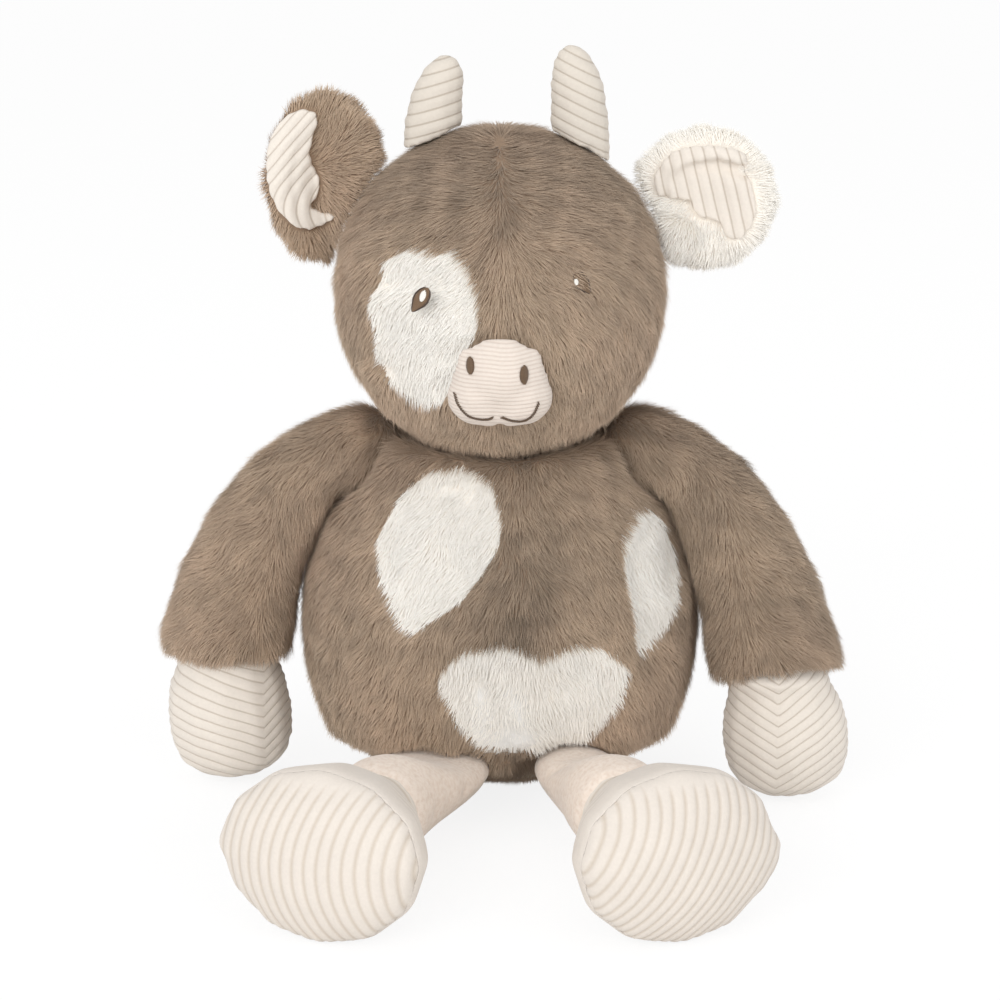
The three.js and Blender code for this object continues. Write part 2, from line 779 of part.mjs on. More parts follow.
function legLimb(side) {
  const curve = new THREE.LineCurve3(hipAt(side), ankleAt(side));
  return {
    curve,
    ball: hip.ball,
    length: curve.getLength() + leg.ankleDrop,
    halfWidth: leg.halfWidth,
    halfDepth: leg.halfWidth,
    profile: legProfileShares,
    endShare: 1,
    overHint: up,
  };
}

function makeLegs(floor) {
  for (const side of sides) {
    const form = legLimb(side);
    const hipStand = (gap) => bodyStand(gap, hipAt(side), hip.ball);
    const outer = limb(form, 0).subtract(hipStand(clearance)).subtract(floor);
    const cavity = limb(form, legWall, overrun).subtract(hipStand(legWall + clearance));
    const ankleSeat = ballSeat(ankleAt(side), ankle.ball);
    addPiece(`${side.name}_leg_shell`, outer.subtract(cavity).subtract(ankleSeat), 'legCloth');
    const filling = limb(form, legWall + clearance, -leg.ankleDrop)
      .subtract(hipStand(legWall + 2 * clearance))
      .subtract(ballSeat(ankleAt(side), ankle.ball + clearance));
    addPiece(`${side.name}_leg_stuffing`, filling, 'fibre');
  }
}

function footWay(side) {
  const splay = THREE.MathUtils.degToRad(foot.splay);
  const lift = THREE.MathUtils.degToRad(foot.toeLift);
  return point(
    side.sign * Math.sin(splay) * Math.cos(lift),
    -Math.cos(splay) * Math.cos(lift),
    Math.sin(lift),
  );
}

function footCurve(side) {
  const start = ankleAt(side);
  const end = start.clone().addScaledVector(footWay(side), foot.length + foot.soleDepth);
  return new THREE.LineCurve3(start, end);
}

// Foot: from the ankle ball out to the seam of the sole, and on over the sole's dome
function footForm(side) {
  const length = foot.length + foot.soleDepth;
  const seam = foot.length / length;
  const upper = footProfileShares.map(([way, size]) => [way * seam, size]);
  const dome = soleProfileShares.map(([way, size]) => [seam + way * (1 - seam), size]);
  return {
    curve: footCurve(side),
    ball: ankle.ball,
    length,
    halfWidth: foot.halfWidth,
    halfDepth: foot.halfHeight,
    profile: [...upper, [seam, 1], ...dome],
    overHint: up,
  };
}

// Everything in front of the seam between the foot's upper and its sole
function soleSide(side, setBack) {
  const reach = 3 * foot.halfWidth;
  const slab = new THREE.BoxGeometry(reach, reach, reach);
  slab.translate(0, 0, 0.5 * reach + foot.length - setBack);
  const way = footWay(side);
  const across = up.clone().cross(way).normalize();
  const over = way.clone().cross(across);
  slab.applyMatrix4(new THREE.Matrix4().makeBasis(across, over, way).setPosition(ankleAt(side)));
  return solidOf(slab);
}

function makeFeet(floor) {
  for (const side of sides) {
    const form = footForm(side);
    const skin = limb(form, 0).subtract(limb(form, cordWall)).subtract(floor);
    addPiece(`${side.name}_foot_upper`, skin.subtract(soleSide(side, clearance)), 'cord');
    addPiece(`${side.name}_foot_sole`, skin.intersect(soleSide(side, 0)), 'cord');
    const filling = limb(form, cordWall + clearance);
    addPiece(`${side.name}_foot_stuffing`, filling.subtract(floor), 'fibre');
  }
}

const floor = belowFloor();
makeBody(floor);
makeHead();
makeMuzzle();
makeFace();
makeHorns();
makeEars();
makeArms();
makeHands(floor);
makeLegs(floor);
makeFeet(floor);

export default toy;
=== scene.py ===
"""Plush cow: fur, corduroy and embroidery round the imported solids."""

import math

import bpy
import numpy as np
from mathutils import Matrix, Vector
from mathutils.bvhtree import BVHTree
from mathutils.kdtree import KDTree


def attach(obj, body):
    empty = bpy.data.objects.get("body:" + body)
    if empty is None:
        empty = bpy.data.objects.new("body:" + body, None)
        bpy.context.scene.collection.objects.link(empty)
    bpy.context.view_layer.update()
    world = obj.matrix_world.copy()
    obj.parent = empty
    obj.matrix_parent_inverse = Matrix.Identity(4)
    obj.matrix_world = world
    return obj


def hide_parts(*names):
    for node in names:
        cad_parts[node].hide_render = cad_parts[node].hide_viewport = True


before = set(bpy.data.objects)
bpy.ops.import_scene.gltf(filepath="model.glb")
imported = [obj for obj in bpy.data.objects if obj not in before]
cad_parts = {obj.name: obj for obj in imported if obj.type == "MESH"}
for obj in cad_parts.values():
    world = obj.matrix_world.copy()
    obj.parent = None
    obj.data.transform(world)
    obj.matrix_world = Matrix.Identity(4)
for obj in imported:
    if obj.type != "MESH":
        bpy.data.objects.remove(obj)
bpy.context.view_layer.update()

MM = 0.001
SIDES = {"right": -1, "left": 1}
AHEAD = (0, -1, 0)


def set_all(target, **values):
    for name, value in values.items():
        setattr(target, name, value)


# Shader sums
class Wire:
    """A shader socket that can stand in a sum."""

    def __init__(self, finish, socket):
        self.finish = finish
        self.socket = socket

    def sum_with(self, operation, other):
        return self.finish.node("Math", {0: self, 1: other}, operation=operation)

    def __add__(self, other):
        return self.sum_with("ADD", other)

    def __sub__(self, other):
        return self.sum_with("SUBTRACT", other)

    def __mul__(self, other):
        return self.sum_with("MULTIPLY", other)


class Finish:
    """One cloth or thread, built from nodes. Its noises are read at the object's own place."""

    def __init__(self, name, colour, roughness, sheen=0, sheen_roughness=0.5):
        self.material = bpy.data.materials.new(name)
        self.material.use_nodes = True
        self.tree = self.material.node_tree
        self.surface = self.tree.nodes["Principled BSDF"]
        self.feed(self.surface, {"Base Color": colour, "Roughness": roughness})
        self.feed(self.surface, {"Sheen Weight": sheen, "Sheen Roughness": sheen_roughness})

    def feed(self, node, sockets):
        """Gives sockets of a node a wire, a colour or a number each."""
        for place, value in sockets.items():
            socket = node.inputs[place]
            if isinstance(value, Wire):
                self.tree.links.new(value.socket, socket)
            elif isinstance(value, tuple) and socket.type == "RGBA":
                socket.default_value = (*value, 1)
            else:
                socket.default_value = value

    def node(self, kind, sockets, out=0, **settings):
        made = self.tree.nodes.new(f"ShaderNode{kind}")
        set_all(made, **settings)
        self.feed(made, sockets)
        return Wire(self, made.outputs[out])

    def place(self):
        return self.node("TexCoord", {}, "Object")

    def carried(self, name):
        """The number that the mesh keeps under this name."""
        return self.node("Attribute", {}, "Fac", attribute_name=name)

    def noise(self, scale, detail):
        return self.node("TexNoise", {"Vector": self.place(), "Scale": scale, "Detail": detail}, "Fac")

    def ramp(self, share, stops):
        made = self.node("ValToRGB", {"Fac": share})
        elements = made.socket.node.color_ramp.elements
        while len(elements) < len(stops):
            elements.new(1)
        for element, (place, colour) in zip(elements, stops):
            element.position = place
            element.color = (*colour, 1)
        return made

    def between(self, share, low, high):
        """Share stretched so that low gives 0 and high gives 1."""
        return self.node("MapRange", {"Value": share, "From Min": low, "From Max": high})

    def mix(self, share, first, second):
        return self.node("Mix", {0: share, 6: first, 7: second}, 2, data_type="RGBA")

    def shade(self, colour, strength):
        return self.node("VectorMath", {"Vector": colour, "Scale": strength}, operation="SCALE")

    def done(self, colour, height=None, distance=0, strength=1.0):
        """The material, with this colour and a relief that only the light sees, in millimetres."""
        self.feed(self.surface, {"Base Color": colour})
        if height:
            bump = self.node("Bump", {"Height": height, "Distance": distance * MM, "Strength": strength})
            self.feed(self.surface, {"Normal": bump})
        return self.material


def linear(red, green, blue):
    """A screen colour, 0 to 255, as light."""
    shares = [c / 255 for c in (red, green, blue)]
    return tuple(c / 12.92 if c <= 0.04045 else ((c + 0.055) / 1.055) ** 2.4 for c in shares)


# Finishes
def fur_finish(name, root, middle, tip, blush, drift, sheen):
    """Strands painted darker at the root, as painted shade deep in the pile, and lighter to their tips, with
    pinker places and drifts of tone; the carried tone also holds painted shade.
    """
    cloth = Finish(name, middle, 0.85, sheen)
    along = cloth.ramp(cloth.carried("along"), [(0, root), (0.45, middle), (1, tip)])
    tinted = cloth.mix(cloth.between(cloth.noise(14, 3), 0.45, 0.7) * 0.4, along, blush)
    tone = (cloth.carried("tone") - 0.5) * 0.45 + (cloth.noise(35, 2) - 0.5) * 0.4
    return cloth.done(cloth.shade(tinted, tone * drift + 1))


def backing_finish():
    """The woven ground that the pile stands in, cream under the patches."""
    cloth = Finish("fur backing", linear(150, 128, 108), 0.95)
    pile = cloth.noise(600, 3)
    shown = cloth.mix(cloth.carried("patch"), linear(150, 127, 106), linear(247, 240, 230))
    return cloth.done(cloth.shade(shown, pile * 0.35 + cloth.noise(40, 2) * 0.2 + 0.7), pile, 0.5)


def corduroy_finish(name, rib, groove, width):
    """Ribbed pile. The cloth carries a count of its ribs, and a groove runs at each whole number."""
    cloth = Finish(name, rib, 0.9, sheen=0.2, sheen_roughness=0.4)
    share = cloth.node("Math", {0: cloth.carried("ribs")}, operation="FRACT")
    off = cloth.node("Math", {0: share - 0.5}, operation="ABSOLUTE")
    depth = cloth.between(off, 0.5 - width, 0.5) * cloth.carried("fade")
    pile = cloth.noise(900, 2)
    # The groove colour is painted shade in the grooves, added to the relief of the bump.
    shown = cloth.mix(cloth.between(depth, 0.1, 0.9), rib, groove)
    worn = cloth.shade(shown, cloth.noise(60, 3) * 0.1 + pile * 0.1 + 0.9)
    return cloth.done(worn, pile * 0.3 - depth, 0.3, 0.6)


def short_pile_finish(name, colour, deep, scale):
    cloth = Finish(name, colour, 0.9, sheen=0.3, sheen_roughness=0.4)
    pile = cloth.noise(scale, 3)
    shown = cloth.mix(cloth.between(pile, 0.3, 0.6), deep, colour)
    return cloth.done(cloth.shade(shown, cloth.noise(45, 3) * 0.12 + 0.92), pile, 0.5, 0.7)


def thread_finish(name, colour, deep):
    cloth = Finish(name, colour, 0.45, sheen=0.2)
    twist = cloth.noise(1500, 2)
    tone = cloth.between(twist * 0.4 + cloth.carried("tone"), 0.2, 1.2)
    return cloth.done(cloth.mix(tone, deep, colour), twist, 0.1, 0.5)


def filling_finish():
    cloth = Finish("fibre filling", linear(246, 245, 242), 1.0)
    wisps = cloth.noise(140, 6)
    return cloth.done(cloth.mix(wisps, linear(214, 212, 208), linear(250, 249, 246)), wisps, 1.5)


def linen_finish():
    cloth = Finish("pouch linen", linear(228, 220, 203), 0.95)
    warp, weft = (
        cloth.node("TexWave", {"Vector": cloth.place(), "Scale": 500}, "Fac", bands_direction=way)
        for way in "XY"
    )
    weave = warp * weft
    return cloth.done(cloth.mix(weave, linear(196, 184, 160), linear(234, 227, 212)), weave, 0.2)


# Each finish, with the name of its slot
# The root colours are painted shade deep in the pile.
TAUPE = fur_finish(
    "taupe fur", linear(150, 128, 106), linear(176, 154, 131), linear(199, 178, 156), linear(190, 163, 142),
    drift=1, sheen=0.15,
), "taupe_fur"
CREAM = fur_finish(
    "cream fur", linear(252, 246, 236), linear(254, 250, 243), linear(255, 253, 248), linear(255, 249, 240),
    drift=0.15, sheen=0.45,
), "cream_fur"
WOVEN = backing_finish()
BACKING, CREAM_BACKING = (WOVEN, "taupe_fur"), (WOVEN, "cream_fur")
# The groove colours of the corduroys and of the muzzle plush are painted shade in their grooves.
CORD = corduroy_finish("corduroy", linear(238, 229, 218), linear(210, 198, 184), 0.13), "corduroy"
SOLE_CORD = corduroy_finish("sole corduroy", linear(232, 223, 213), linear(216, 204, 190), 0.26), "corduroy"
# The horns' corduroy is the same cloth painted darker all over, as painted shade.
SHADED_HORN_CORD = corduroy_finish("horn corduroy", linear(224, 215, 203), linear(196, 184, 169), 0.13), "corduroy"
LEG_PILE = short_pile_finish("leg plush", linear(251, 237, 224), linear(238, 220, 204), 650), "leg_cloth"
MUZZLE_TONES = linear(234, 222, 211), linear(225, 210, 198)
MUZZLE_PILE = corduroy_finish("muzzle plush", *MUZZLE_TONES, 0.3), "muzzle_cloth"
BROWN = thread_finish("brown thread", linear(122, 96, 70), linear(66, 50, 38)), "brown_thread"
WHITE = thread_finish("white thread", linear(250, 247, 240), linear(226, 220, 210)), "white_thread"
FILLING = filling_finish(), "fibre_fill"
LINEN = linen_finish(), "pouch_linen"


# Mesh helpers
def add_object(name, data):
    made = bpy.data.objects.new(name, data)
    bpy.context.scene.collection.objects.link(made)
    return made


def select_only(*pieces):
    """Selects the pieces, with the first as the active one."""
    bpy.ops.object.select_all(action="DESELECT")
    for piece in pieces:
        piece.select_set(True)
    bpy.context.view_layer.objects.active = pieces[0]


def in_edit_mode(piece, operation, **settings):
    """Runs one mesh operation on all of the piece."""
    select_only(piece)
    bpy.ops.object.mode_set(mode="EDIT")
    bpy.ops.mesh.select_all(action="SELECT")
    operation(**settings)
    bpy.ops.object.mode_set(mode="OBJECT")


def modify(piece, kind, **settings):
    """Adds a modifier to the piece and applies it."""
    select_only(piece)
    modifier = piece.modifiers.new(kind.lower(), kind)
    set_all(modifier, **settings)
    bpy.ops.object.modifier_apply(modifier=modifier.name)


def remesh(piece, voxel):
    """One closed skin round the piece, from voxels of this many millimetres."""
    modify(piece, "REMESH", mode="VOXEL", voxel_size=voxel * MM, use_smooth_shade=True)


def relax(piece, rounds):
    modify(piece, "SMOOTH", factor=0.5, iterations=rounds)


def subdivide(piece):
    modify(piece, "SUBSURF", levels=1, render_levels=1)


def copy_of(name, *nodes):
    """The CAD nodes' own shapes, joined into one new piece."""
    copies = []
    for node in nodes:
        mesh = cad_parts[node].data.copy()
        mesh.materials.clear()
        copies.append(add_object(name, mesh))
    select_only(*copies)
    if len(copies) > 1:
        bpy.ops.object.join()
    piece = copies[0]
    piece.name = piece.data.name = name
    bpy.ops.mesh.customdata_custom_splitnormals_clear()
    in_edit_mode(piece, bpy.ops.mesh.remove_doubles, threshold=0.01 * MM)
    return piece


def rows_of(items, field, kind=np.float32):
    """One field of all the items of a mesh, three numbers to a row."""
    flat = np.empty(len(items) * 3, kind)
    items.foreach_get(field, flat)
    return flat.reshape(-1, 3)


def points_of(piece):
    return rows_of(piece.data.vertices, "co").astype(float)


def normals_of(piece):
    return rows_of(piece.data.vertex_normals, "vector").astype(float)


def triangles_of(piece):
    piece.data.calc_loop_triangles()
    return rows_of(piece.data.loop_triangles, "vertices", np.int32)


def move_points(piece, points):
    piece.data.vertices.foreach_set("co", np.ascontiguousarray(points, np.float32).ravel())
    piece.data.update()


def reshape(piece, rule):
    """Moves the piece's points by a rule in millimetres, and returns where they are then."""
    points = rule(points_of(piece) / MM)
    move_points(piece, points * MM)
    return points


def carry(piece, name, values):
    """Keeps one number for each point of the piece, for its finish to read."""
    layer = piece.data.attributes.get(name) or piece.data.attributes.new(name, "FLOAT", "POINT")
    layer.data.foreach_set("value", np.ascontiguousarray(values, np.float32))


def room_of(piece):
    """The volume inside a closed piece."""
    corners = triangles_of(piece)
    a, b, c = (points_of(piece)[corners[:, k]] for k in range(3))
    return float(np.einsum("ij,ij->i", a, np.cross(b, c)).sum() / 6)


def swell(piece, distance):
    """Moves each point out along its normal; distance is one number or one for each point."""
    move_points(piece, points_of(piece) + normals_of(piece) * np.reshape(distance, (-1, 1)))


def dress(piece, finish, body, node=None, fill=None):
    """Gives the piece its finish, hides the CAD node that it stands for and hangs it on the body that it
    rides on. Strands of fur keep flat faces, and all else is shaded smooth."""
    material, slot = finish
    piece.data.materials.clear()
    piece.data.materials.append(material)
    smooth = finish not in (TAUPE, CREAM)
    piece.data.polygons.foreach_set("use_smooth", [smooth] * len(piece.data.polygons))
    if node:
        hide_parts(node)
    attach(piece, body)
    return piece


def soft_steps(share):
    """0 to 1 with an easy start and end."""
    share = np.clip(share, 0, 1)
    return share * share * (3 - 2 * share)


def ease(values, start, end):
    """0 up to start, 1 from end on, and eased between."""
    return soft_steps((values - start) / (end - start))


WAVES = 6


def wander(points, size, seed):
    """A smooth drift between about -1 and 1, with lumps of the given size."""
    chance = np.random.default_rng(seed)
    total = np.zeros(len(points))
    for _ in range(WAVES):
        way = chance.normal(size=3)
        way *= (0.7 + 0.6 * chance.random()) * 2 * math.pi / size / np.linalg.norm(way)
        total += np.sin(points @ way + chance.random() * 2 * math.pi)
    return total / (WAVES / 2)


def unit(vectors):
    return vectors / np.maximum(np.linalg.norm(vectors, axis=-1, keepdims=True), 1e-12)


# Padded forms
PUFF_FRAMES = 20
PUFF_CLOTH = {
    "quality": 4, "mass": 0.3, "tension_stiffness": 20, "compression_stiffness": 20, "shear_stiffness": 8,
    "bending_stiffness": 0.4, "use_pressure": True, "uniform_pressure_force": 4.0,
}


def puffed(piece, most):
    """Blows the closed piece up as sewn cloth, and moves no point further than most."""
    rest = points_of(piece)
    cloth = piece.modifiers.new("puff", "CLOTH")
    set_all(cloth.settings, **PUFF_CLOTH)
    cloth.settings.effector_weights.gravity = 0
    cloth.point_cache.frame_start = 1
    cloth.point_cache.frame_end = PUFF_FRAMES
    scene = bpy.context.scene
    for step in range(1, PUFF_FRAMES + 1):
        scene.frame_set(step)
    held = piece.evaluated_get(bpy.context.evaluated_depsgraph_get())
    shift = rows_of(held.to_mesh().vertices, "co") - rest
    held.to_mesh_clear()
    piece.modifiers.remove(cloth)
    scene.frame_set(1)
    reach = np.linalg.norm(shift, axis=1, keepdims=True)
    shift *= np.minimum(1, most / np.maximum(reach, 1e-9))
    move_points(piece, rest + shift)


def without_crumbs(piece):
    """Takes away loose bits that a remesh leaves beside the form itself."""
    name = piece.name
    in_edit_mode(piece, bpy.ops.mesh.separate, type="LOOSE")
    parts = sorted(bpy.context.selected_objects, key=lambda part: len(part.data.vertices))
    for crumb in parts[:-1]:
        bpy.data.objects.remove(crumb)
    parts[-1].name = parts[-1].data.name = name
    return parts[-1]


def with_ball(piece, place, radius):
    """The piece joined with a ball, both in millimetres, to be made one skin later."""
    bpy.ops.mesh.primitive_uv_sphere_add(radius=radius * MM, location=[value * MM for value in place])
    select_only(piece, bpy.context.object)
    bpy.ops.object.join()
    return piece


def cut_at(piece, place, way, keep_front=True):
    """Keeps the part of a closed piece on one side of a plane, and closes it."""
    in_edit_mode(
        piece, bpy.ops.mesh.bisect, plane_co=np.array(place) * MM, plane_no=way, use_fill=True,
        clear_inner=keep_front, clear_outer=not keep_front,
    )


def finish_form(piece, voxel, grow=0, rounds=5, most=1.5, detail=True):
    """Makes one closed skin round the piece, blows it up, and evens it out to its first size.
    The voxel, what it grows by and the most that it puffs are in millimetres."""
    remesh(piece, voxel)
    piece = without_crumbs(piece)
    first = room_of(piece)
    relax(piece, rounds)
    puffed(piece, most * MM)
    relax(piece, 2)
    area = sum(face.area for face in piece.data.polygons)
    swell(piece, (first - room_of(piece)) / area + grow * MM)
    if detail:
        subdivide(piece)
    return piece


def stuffed(stem, *more, **form):
    """A stuffed cloth form on the outline of its CAD cover and filling, and of more nodes if given."""
    return finish_form(copy_of(f"{stem}_cover", f"{stem}_shell", f"{stem}_stuffing", *more), **form)


def fill_piece(node, body, voxel, shift=None):
    """The loose fibre inside a stuffed form, in lumps, moved as its cover is."""
    piece = copy_of(f"{node}_fibre", node)
    remesh(piece, voxel)
    relax(piece, 3)
    swell(piece, -MM * (0.6 + 0.5 * wander(points_of(piece), 9 * MM, 5)))
    if shift:
        reshape(piece, shift)
    dress(piece, FILLING, body, node, fill=0.7)


def gap_to(points, path):
    """How far each point is from a path of straight runs, in millimetres."""
    nearest = np.full(len(points), 1e9)
    path = np.array(path, float) * MM
    for start, end in zip(path[:-1], path[1:]):
        run = end - start
        share = np.clip(((points - start) @ run) / (run @ run), 0, 1)
        nearest = np.minimum(nearest, np.linalg.norm(points - start - share[:, None] * run, axis=1))
    return nearest / MM


def crease(piece, path, width, depth, facing=AHEAD):
    """A sewn or folded line along a path of points, pressed in where the surface faces that way."""
    points = points_of(piece)
    normals = normals_of(piece)
    fit = soft_steps(normals @ np.array(facing, float) * 2 + 0.5)
    press = depth * MM * np.exp(-((gap_to(points, path) / width) ** 2)) * fit
    move_points(piece, points - normals * press[:, None])


# Fur
# A coat: strands to the square millimetre, their length and half width in millimetres, how they
# rise from the cloth, sway together and stray singly in degrees, how many make a tuft and how far
# they are drawn to it, how much they hang free where the cloth turns under, and their mean tone.
COAT = {
    "density": 2.45, "length": 7.2, "lift": 14, "sway": 18, "stray": 11, "tuft": 16, "pull": 0.12,
    "half_width": 0.235, "hang": 0, "tone": 0.5,
}
# How the pile drifts from place to place, in lumps of these sizes
SWAY_LUMP, LIFT_LUMP, LENGTH_LUMP, TONE_LUMP, FINE_TONE_LUMP = (size * MM for size in (17, 11, 13, 10, 4))
ROOT_DEPTH, FLOOR_GAP, WALL_GAP, TOO_DEEP = 0.3 * MM, 0.3 * MM, 0.6 * MM, 3.5 * MM
# The shares of its length at which a strand is looked at for its piece, and for a bare cloth behind
SPLIT_AT, BARE_AT = 0.6, 0.65


def rooted(ground, per_square_mm, seed):
    """Evenly strewn places on the ground piece, with the cloth's normal at each."""
    chance = np.random.default_rng(seed)
    points, normals, corners = points_of(ground), normals_of(ground), triangles_of(ground)
    a, b, c = (points[corners[:, k]] for k in range(3))
    area = np.linalg.norm(np.cross(b - a, c - a), axis=1) / 2
    count = int(area.sum() / MM**2 * per_square_mm)
    marks = (np.arange(count) + chance.random(count)) / count * area.sum()
    face = np.minimum(np.searchsorted(np.cumsum(area), marks), len(area) - 1)
    u, v = chance.random((2, count))
    flip = u + v > 1
    u[flip], v[flip] = 1 - u[flip], 1 - v[flip]
    shares = np.stack([1 - u - v, u, v], axis=1)[:, :, None]
    place = (points[corners[face]] * shares).sum(axis=1)
    return place, unit((normals[corners[face]] * shares).sum(axis=1))


def near_walls(points, walls, reach):
    """For every point close enough to a wall: its number, the spot of the wall below it, the normal
    there and how high the point stands over it. Points off beside a sharp rim are left out."""
    for wall in walls:
        corners = points_of(wall)
        low, high = corners.min(axis=0) - reach, corners.max(axis=0) + reach
        close = ((points > low) & (points < high)).all(axis=1)
        tree = BVHTree.FromObject(wall, bpy.context.evaluated_depsgraph_get())
        for index in np.flatnonzero(close):
            spot, normal, _, _ = tree.find_nearest(Vector(points[index]))
            offset = Vector(points[index]) - spot
            height = offset.dot(normal)
            if offset.length < reach or abs(height) > 0.7 * offset.length:
                yield index, spot, normal, height


def inside_of(points, walls):
    """True for each point that lies inside one of the closed pieces."""
    found = np.zeros(len(points), bool)
    for index, _, _, height in near_walls(points, walls, 0):
        if height < 0:
            found[index] = True
    return found


def laid_over(points, walls):
    """The points moved out of any closed piece that they lie in, and which are too deep for it."""
    moved = points.copy()
    deep = np.zeros(len(points), bool)
    for index, spot, normal, height in near_walls(points, walls, WALL_GAP):
        if WALL_GAP - height > TOO_DEEP:
            deep[index] = True
        elif height < WALL_GAP:
            moved[index] = spot + normal * WALL_GAP
    return moved, deep


def in_front_of(cloth, points):
    """True for each point that stands between the cloth and someone who faces the toy."""
    tree = BVHTree.FromObject(cloth, bpy.context.evaluated_depsgraph_get())
    corners = points_of(cloth)[:, [0, 2]]
    seen = points[:, [0, 2]]
    close = ((seen > corners.min(axis=0)) & (seen < corners.max(axis=0))).all(axis=1)
    covered = np.zeros(len(points), bool)
    for index in np.flatnonzero(close):
        covered[index] = tree.ray_cast(Vector(points[index]), Vector((0, 1, 0)))[0] is not None
    return covered


def gathered(tips, roots, per_tuft, pull, seed):
    """Draws the tips of neighbouring strands towards one of them, in tufts."""
    chance = np.random.default_rng(seed)
    chosen = np.flatnonzero(chance.random(len(roots)) < 1 / per_tuft)
    tree = KDTree(len(chosen))
    for order, index in enumerate(chosen):
        tree.insert(Vector(roots[index]), order)
    tree.balance()
    owner = np.array([tree.find(Vector(root))[1] for root in roots])
    strength = pull * (0.6 + 0.4 * chance.random(len(roots)))[:, None]
    return tips + (tips[chosen[owner]] - tips) * strength


def strand_piece(name, roots, tips, normals, half, tones):
    """One mesh of closed, tapered strands, each a low ridge from three root corners to its tip,
    with a cell of the bake map for each strand."""
    count = len(roots)
    axes = unit(tips - roots)
    side = unit(np.cross(axes, normals))
    top = np.cross(side, axes)
    ring = [
        roots + (side * across + top * up) * half[:, None]
        for across, up in ((0, 0.25), (-0.9, -0.1), (0.9, -0.1))
    ]
    corners = np.stack([*ring, tips], axis=1).reshape(-1, 3)
    faces = np.array([(0, 1, 2), (1, 0, 3), (2, 1, 3), (0, 2, 3)])
    cell = [[(0.8, 0.02), (1, 0.02), (0.9, 0.3)]]
    cell += [[((k + 1) / 4, 0), (k / 4, 0), ((k + 0.5) / 4, 1)] for k in range(3)]
    grid = max(1, math.ceil(math.sqrt(count)))
    start = np.stack([np.arange(count) % grid, np.arange(count) // grid], axis=1) / grid
    maps = start[:, None] + np.array(cell, float).reshape(-1, 2)[None] * 0.9 / grid
    loops = (np.arange(count)[:, None] * 4 + faces.ravel()).ravel()

    mesh = bpy.data.meshes.new(name)
    mesh.vertices.add(len(corners))
    mesh.vertices.foreach_set("co", corners.astype(np.float32).ravel())
    mesh.loops.add(len(loops))
    mesh.loops.foreach_set("vertex_index", loops.astype(np.int32))
    mesh.polygons.add(len(loops) // 3)
    mesh.polygons.foreach_set("loop_start", np.arange(0, len(loops), 3, dtype=np.int32))
    mesh.update(calc_edges=True)
    mesh.uv_layers.new(name="OFBake").data.foreach_set("uv", maps.astype(np.float32).ravel())
    piece = add_object(name, mesh)
    carry(piece, "along", np.tile([0, 0, 0, 1], count))
    carry(piece, "tone", np.repeat(tones, 4))
    return piece


def lay_fur(ground, coat, comb, share, seed, split, walls, bare=(), pale=None, dim=None):
    """Fur on a piece of cloth. comb gives the way the pile lies, share how long it is at a place
    from 0, none, to 1, split the name of the piece that each strand belongs to, walls the forms
    that strands lie over, bare the cloths that no strand may hang in front of, pale where the pile
    is finer and flatter, and the last rule how much darker the strands are painted at a place, as painted
    shade."""
    chance = np.random.default_rng(seed + 1)
    roots, normals = rooted(ground, coat["density"], seed)
    lengths = share(roots)
    kept = lengths > 0.05
    roots, normals, lengths = roots[kept], normals[kept], lengths[kept]
    count = len(roots)

    hang = unit(comb(roots))
    rise = np.clip((hang * normals).sum(axis=1), -1, 1)
    way = unit(hang - normals * rise[:, None])
    sway = np.radians(coat["sway"]) * wander(roots, SWAY_LUMP, seed + 2)
    sway += np.radians(coat["stray"]) * chance.normal(size=count)
    way = way * np.cos(sway)[:, None] + np.cross(normals, way) * np.sin(sway)[:, None]
    lift = np.radians(coat["lift"]) * (1 + 0.22 * wander(roots, LIFT_LUMP, seed + 3))
    lift *= np.where(chance.random(count) < 0.35, 1.45, 0.85)
    lift = np.maximum(lift, coat["hang"] * np.arcsin(rise))
    lift = np.clip(lift + np.radians(3) * chance.normal(size=count), 0.08, 1.5)
    flat = pale(roots) if pale else np.zeros(count, bool)
    lift = np.where(flat, lift * 0.75, lift)
    reach = coat["length"] * MM * lengths * (0.8 + 0.3 * chance.random(count))
    reach *= 1 + 0.12 * wander(roots, LENGTH_LUMP, seed + 4)
    tips = roots + (way * np.cos(lift)[:, None] + normals * np.sin(lift)[:, None]) * reach[:, None]
    tips = gathered(tips, roots, coat["tuft"], coat["pull"], seed + 5)
    roots = roots - normals * ROOT_DEPTH
    tips[:, 2] = np.maximum(tips[:, 2], FLOOR_GAP)
    half = coat["half_width"] * MM * (0.8 + 0.5 * chance.random(count)) * np.where(flat, 1.35, 1)
    tones = coat["tone"] + 0.14 * chance.normal(size=count) + 0.2 * wander(roots, FINE_TONE_LUMP, seed + 6)
    tones += 0.22 * wander(roots, TONE_LUMP, seed + 7)
    # Painted shade: strands are painted darker where the last rule says that shade falls.
    if dim:
        tones -= dim(roots)

    def at(part):
        return strands[0] * (1 - part) + strands[1] * part

    strands = [roots, tips, normals, half, np.clip(tones, -0.8, 1.2)]
    free = ~inside_of(roots + normals * MM, walls)
    strands = [values[free] for values in strands]
    strands[1], deep = laid_over(strands[1], walls)
    strands = [values[~deep] for values in strands]
    for cloth in bare:
        cut = np.where(in_front_of(cloth, at(BARE_AT)), 0.45, 1)
        strands[1] = strands[0] + (strands[1] - strands[0]) * cut[:, None]
        free = ~in_front_of(cloth, at(BARE_AT))
        strands = [values[free] for values in strands]
    names = split(at(SPLIT_AT))
    return [
        strand_piece(str(name), *(values[names == name] for values in strands)) for name in sorted(set(names))
    ]


# Places
# Sizes of the solids, in millimetres, as the CAD source gives them
BODY_HALF_WIDTH = 79
HEAD_RADIUS = 63.5
HEAD_CENTRE = (0, -8, 195)
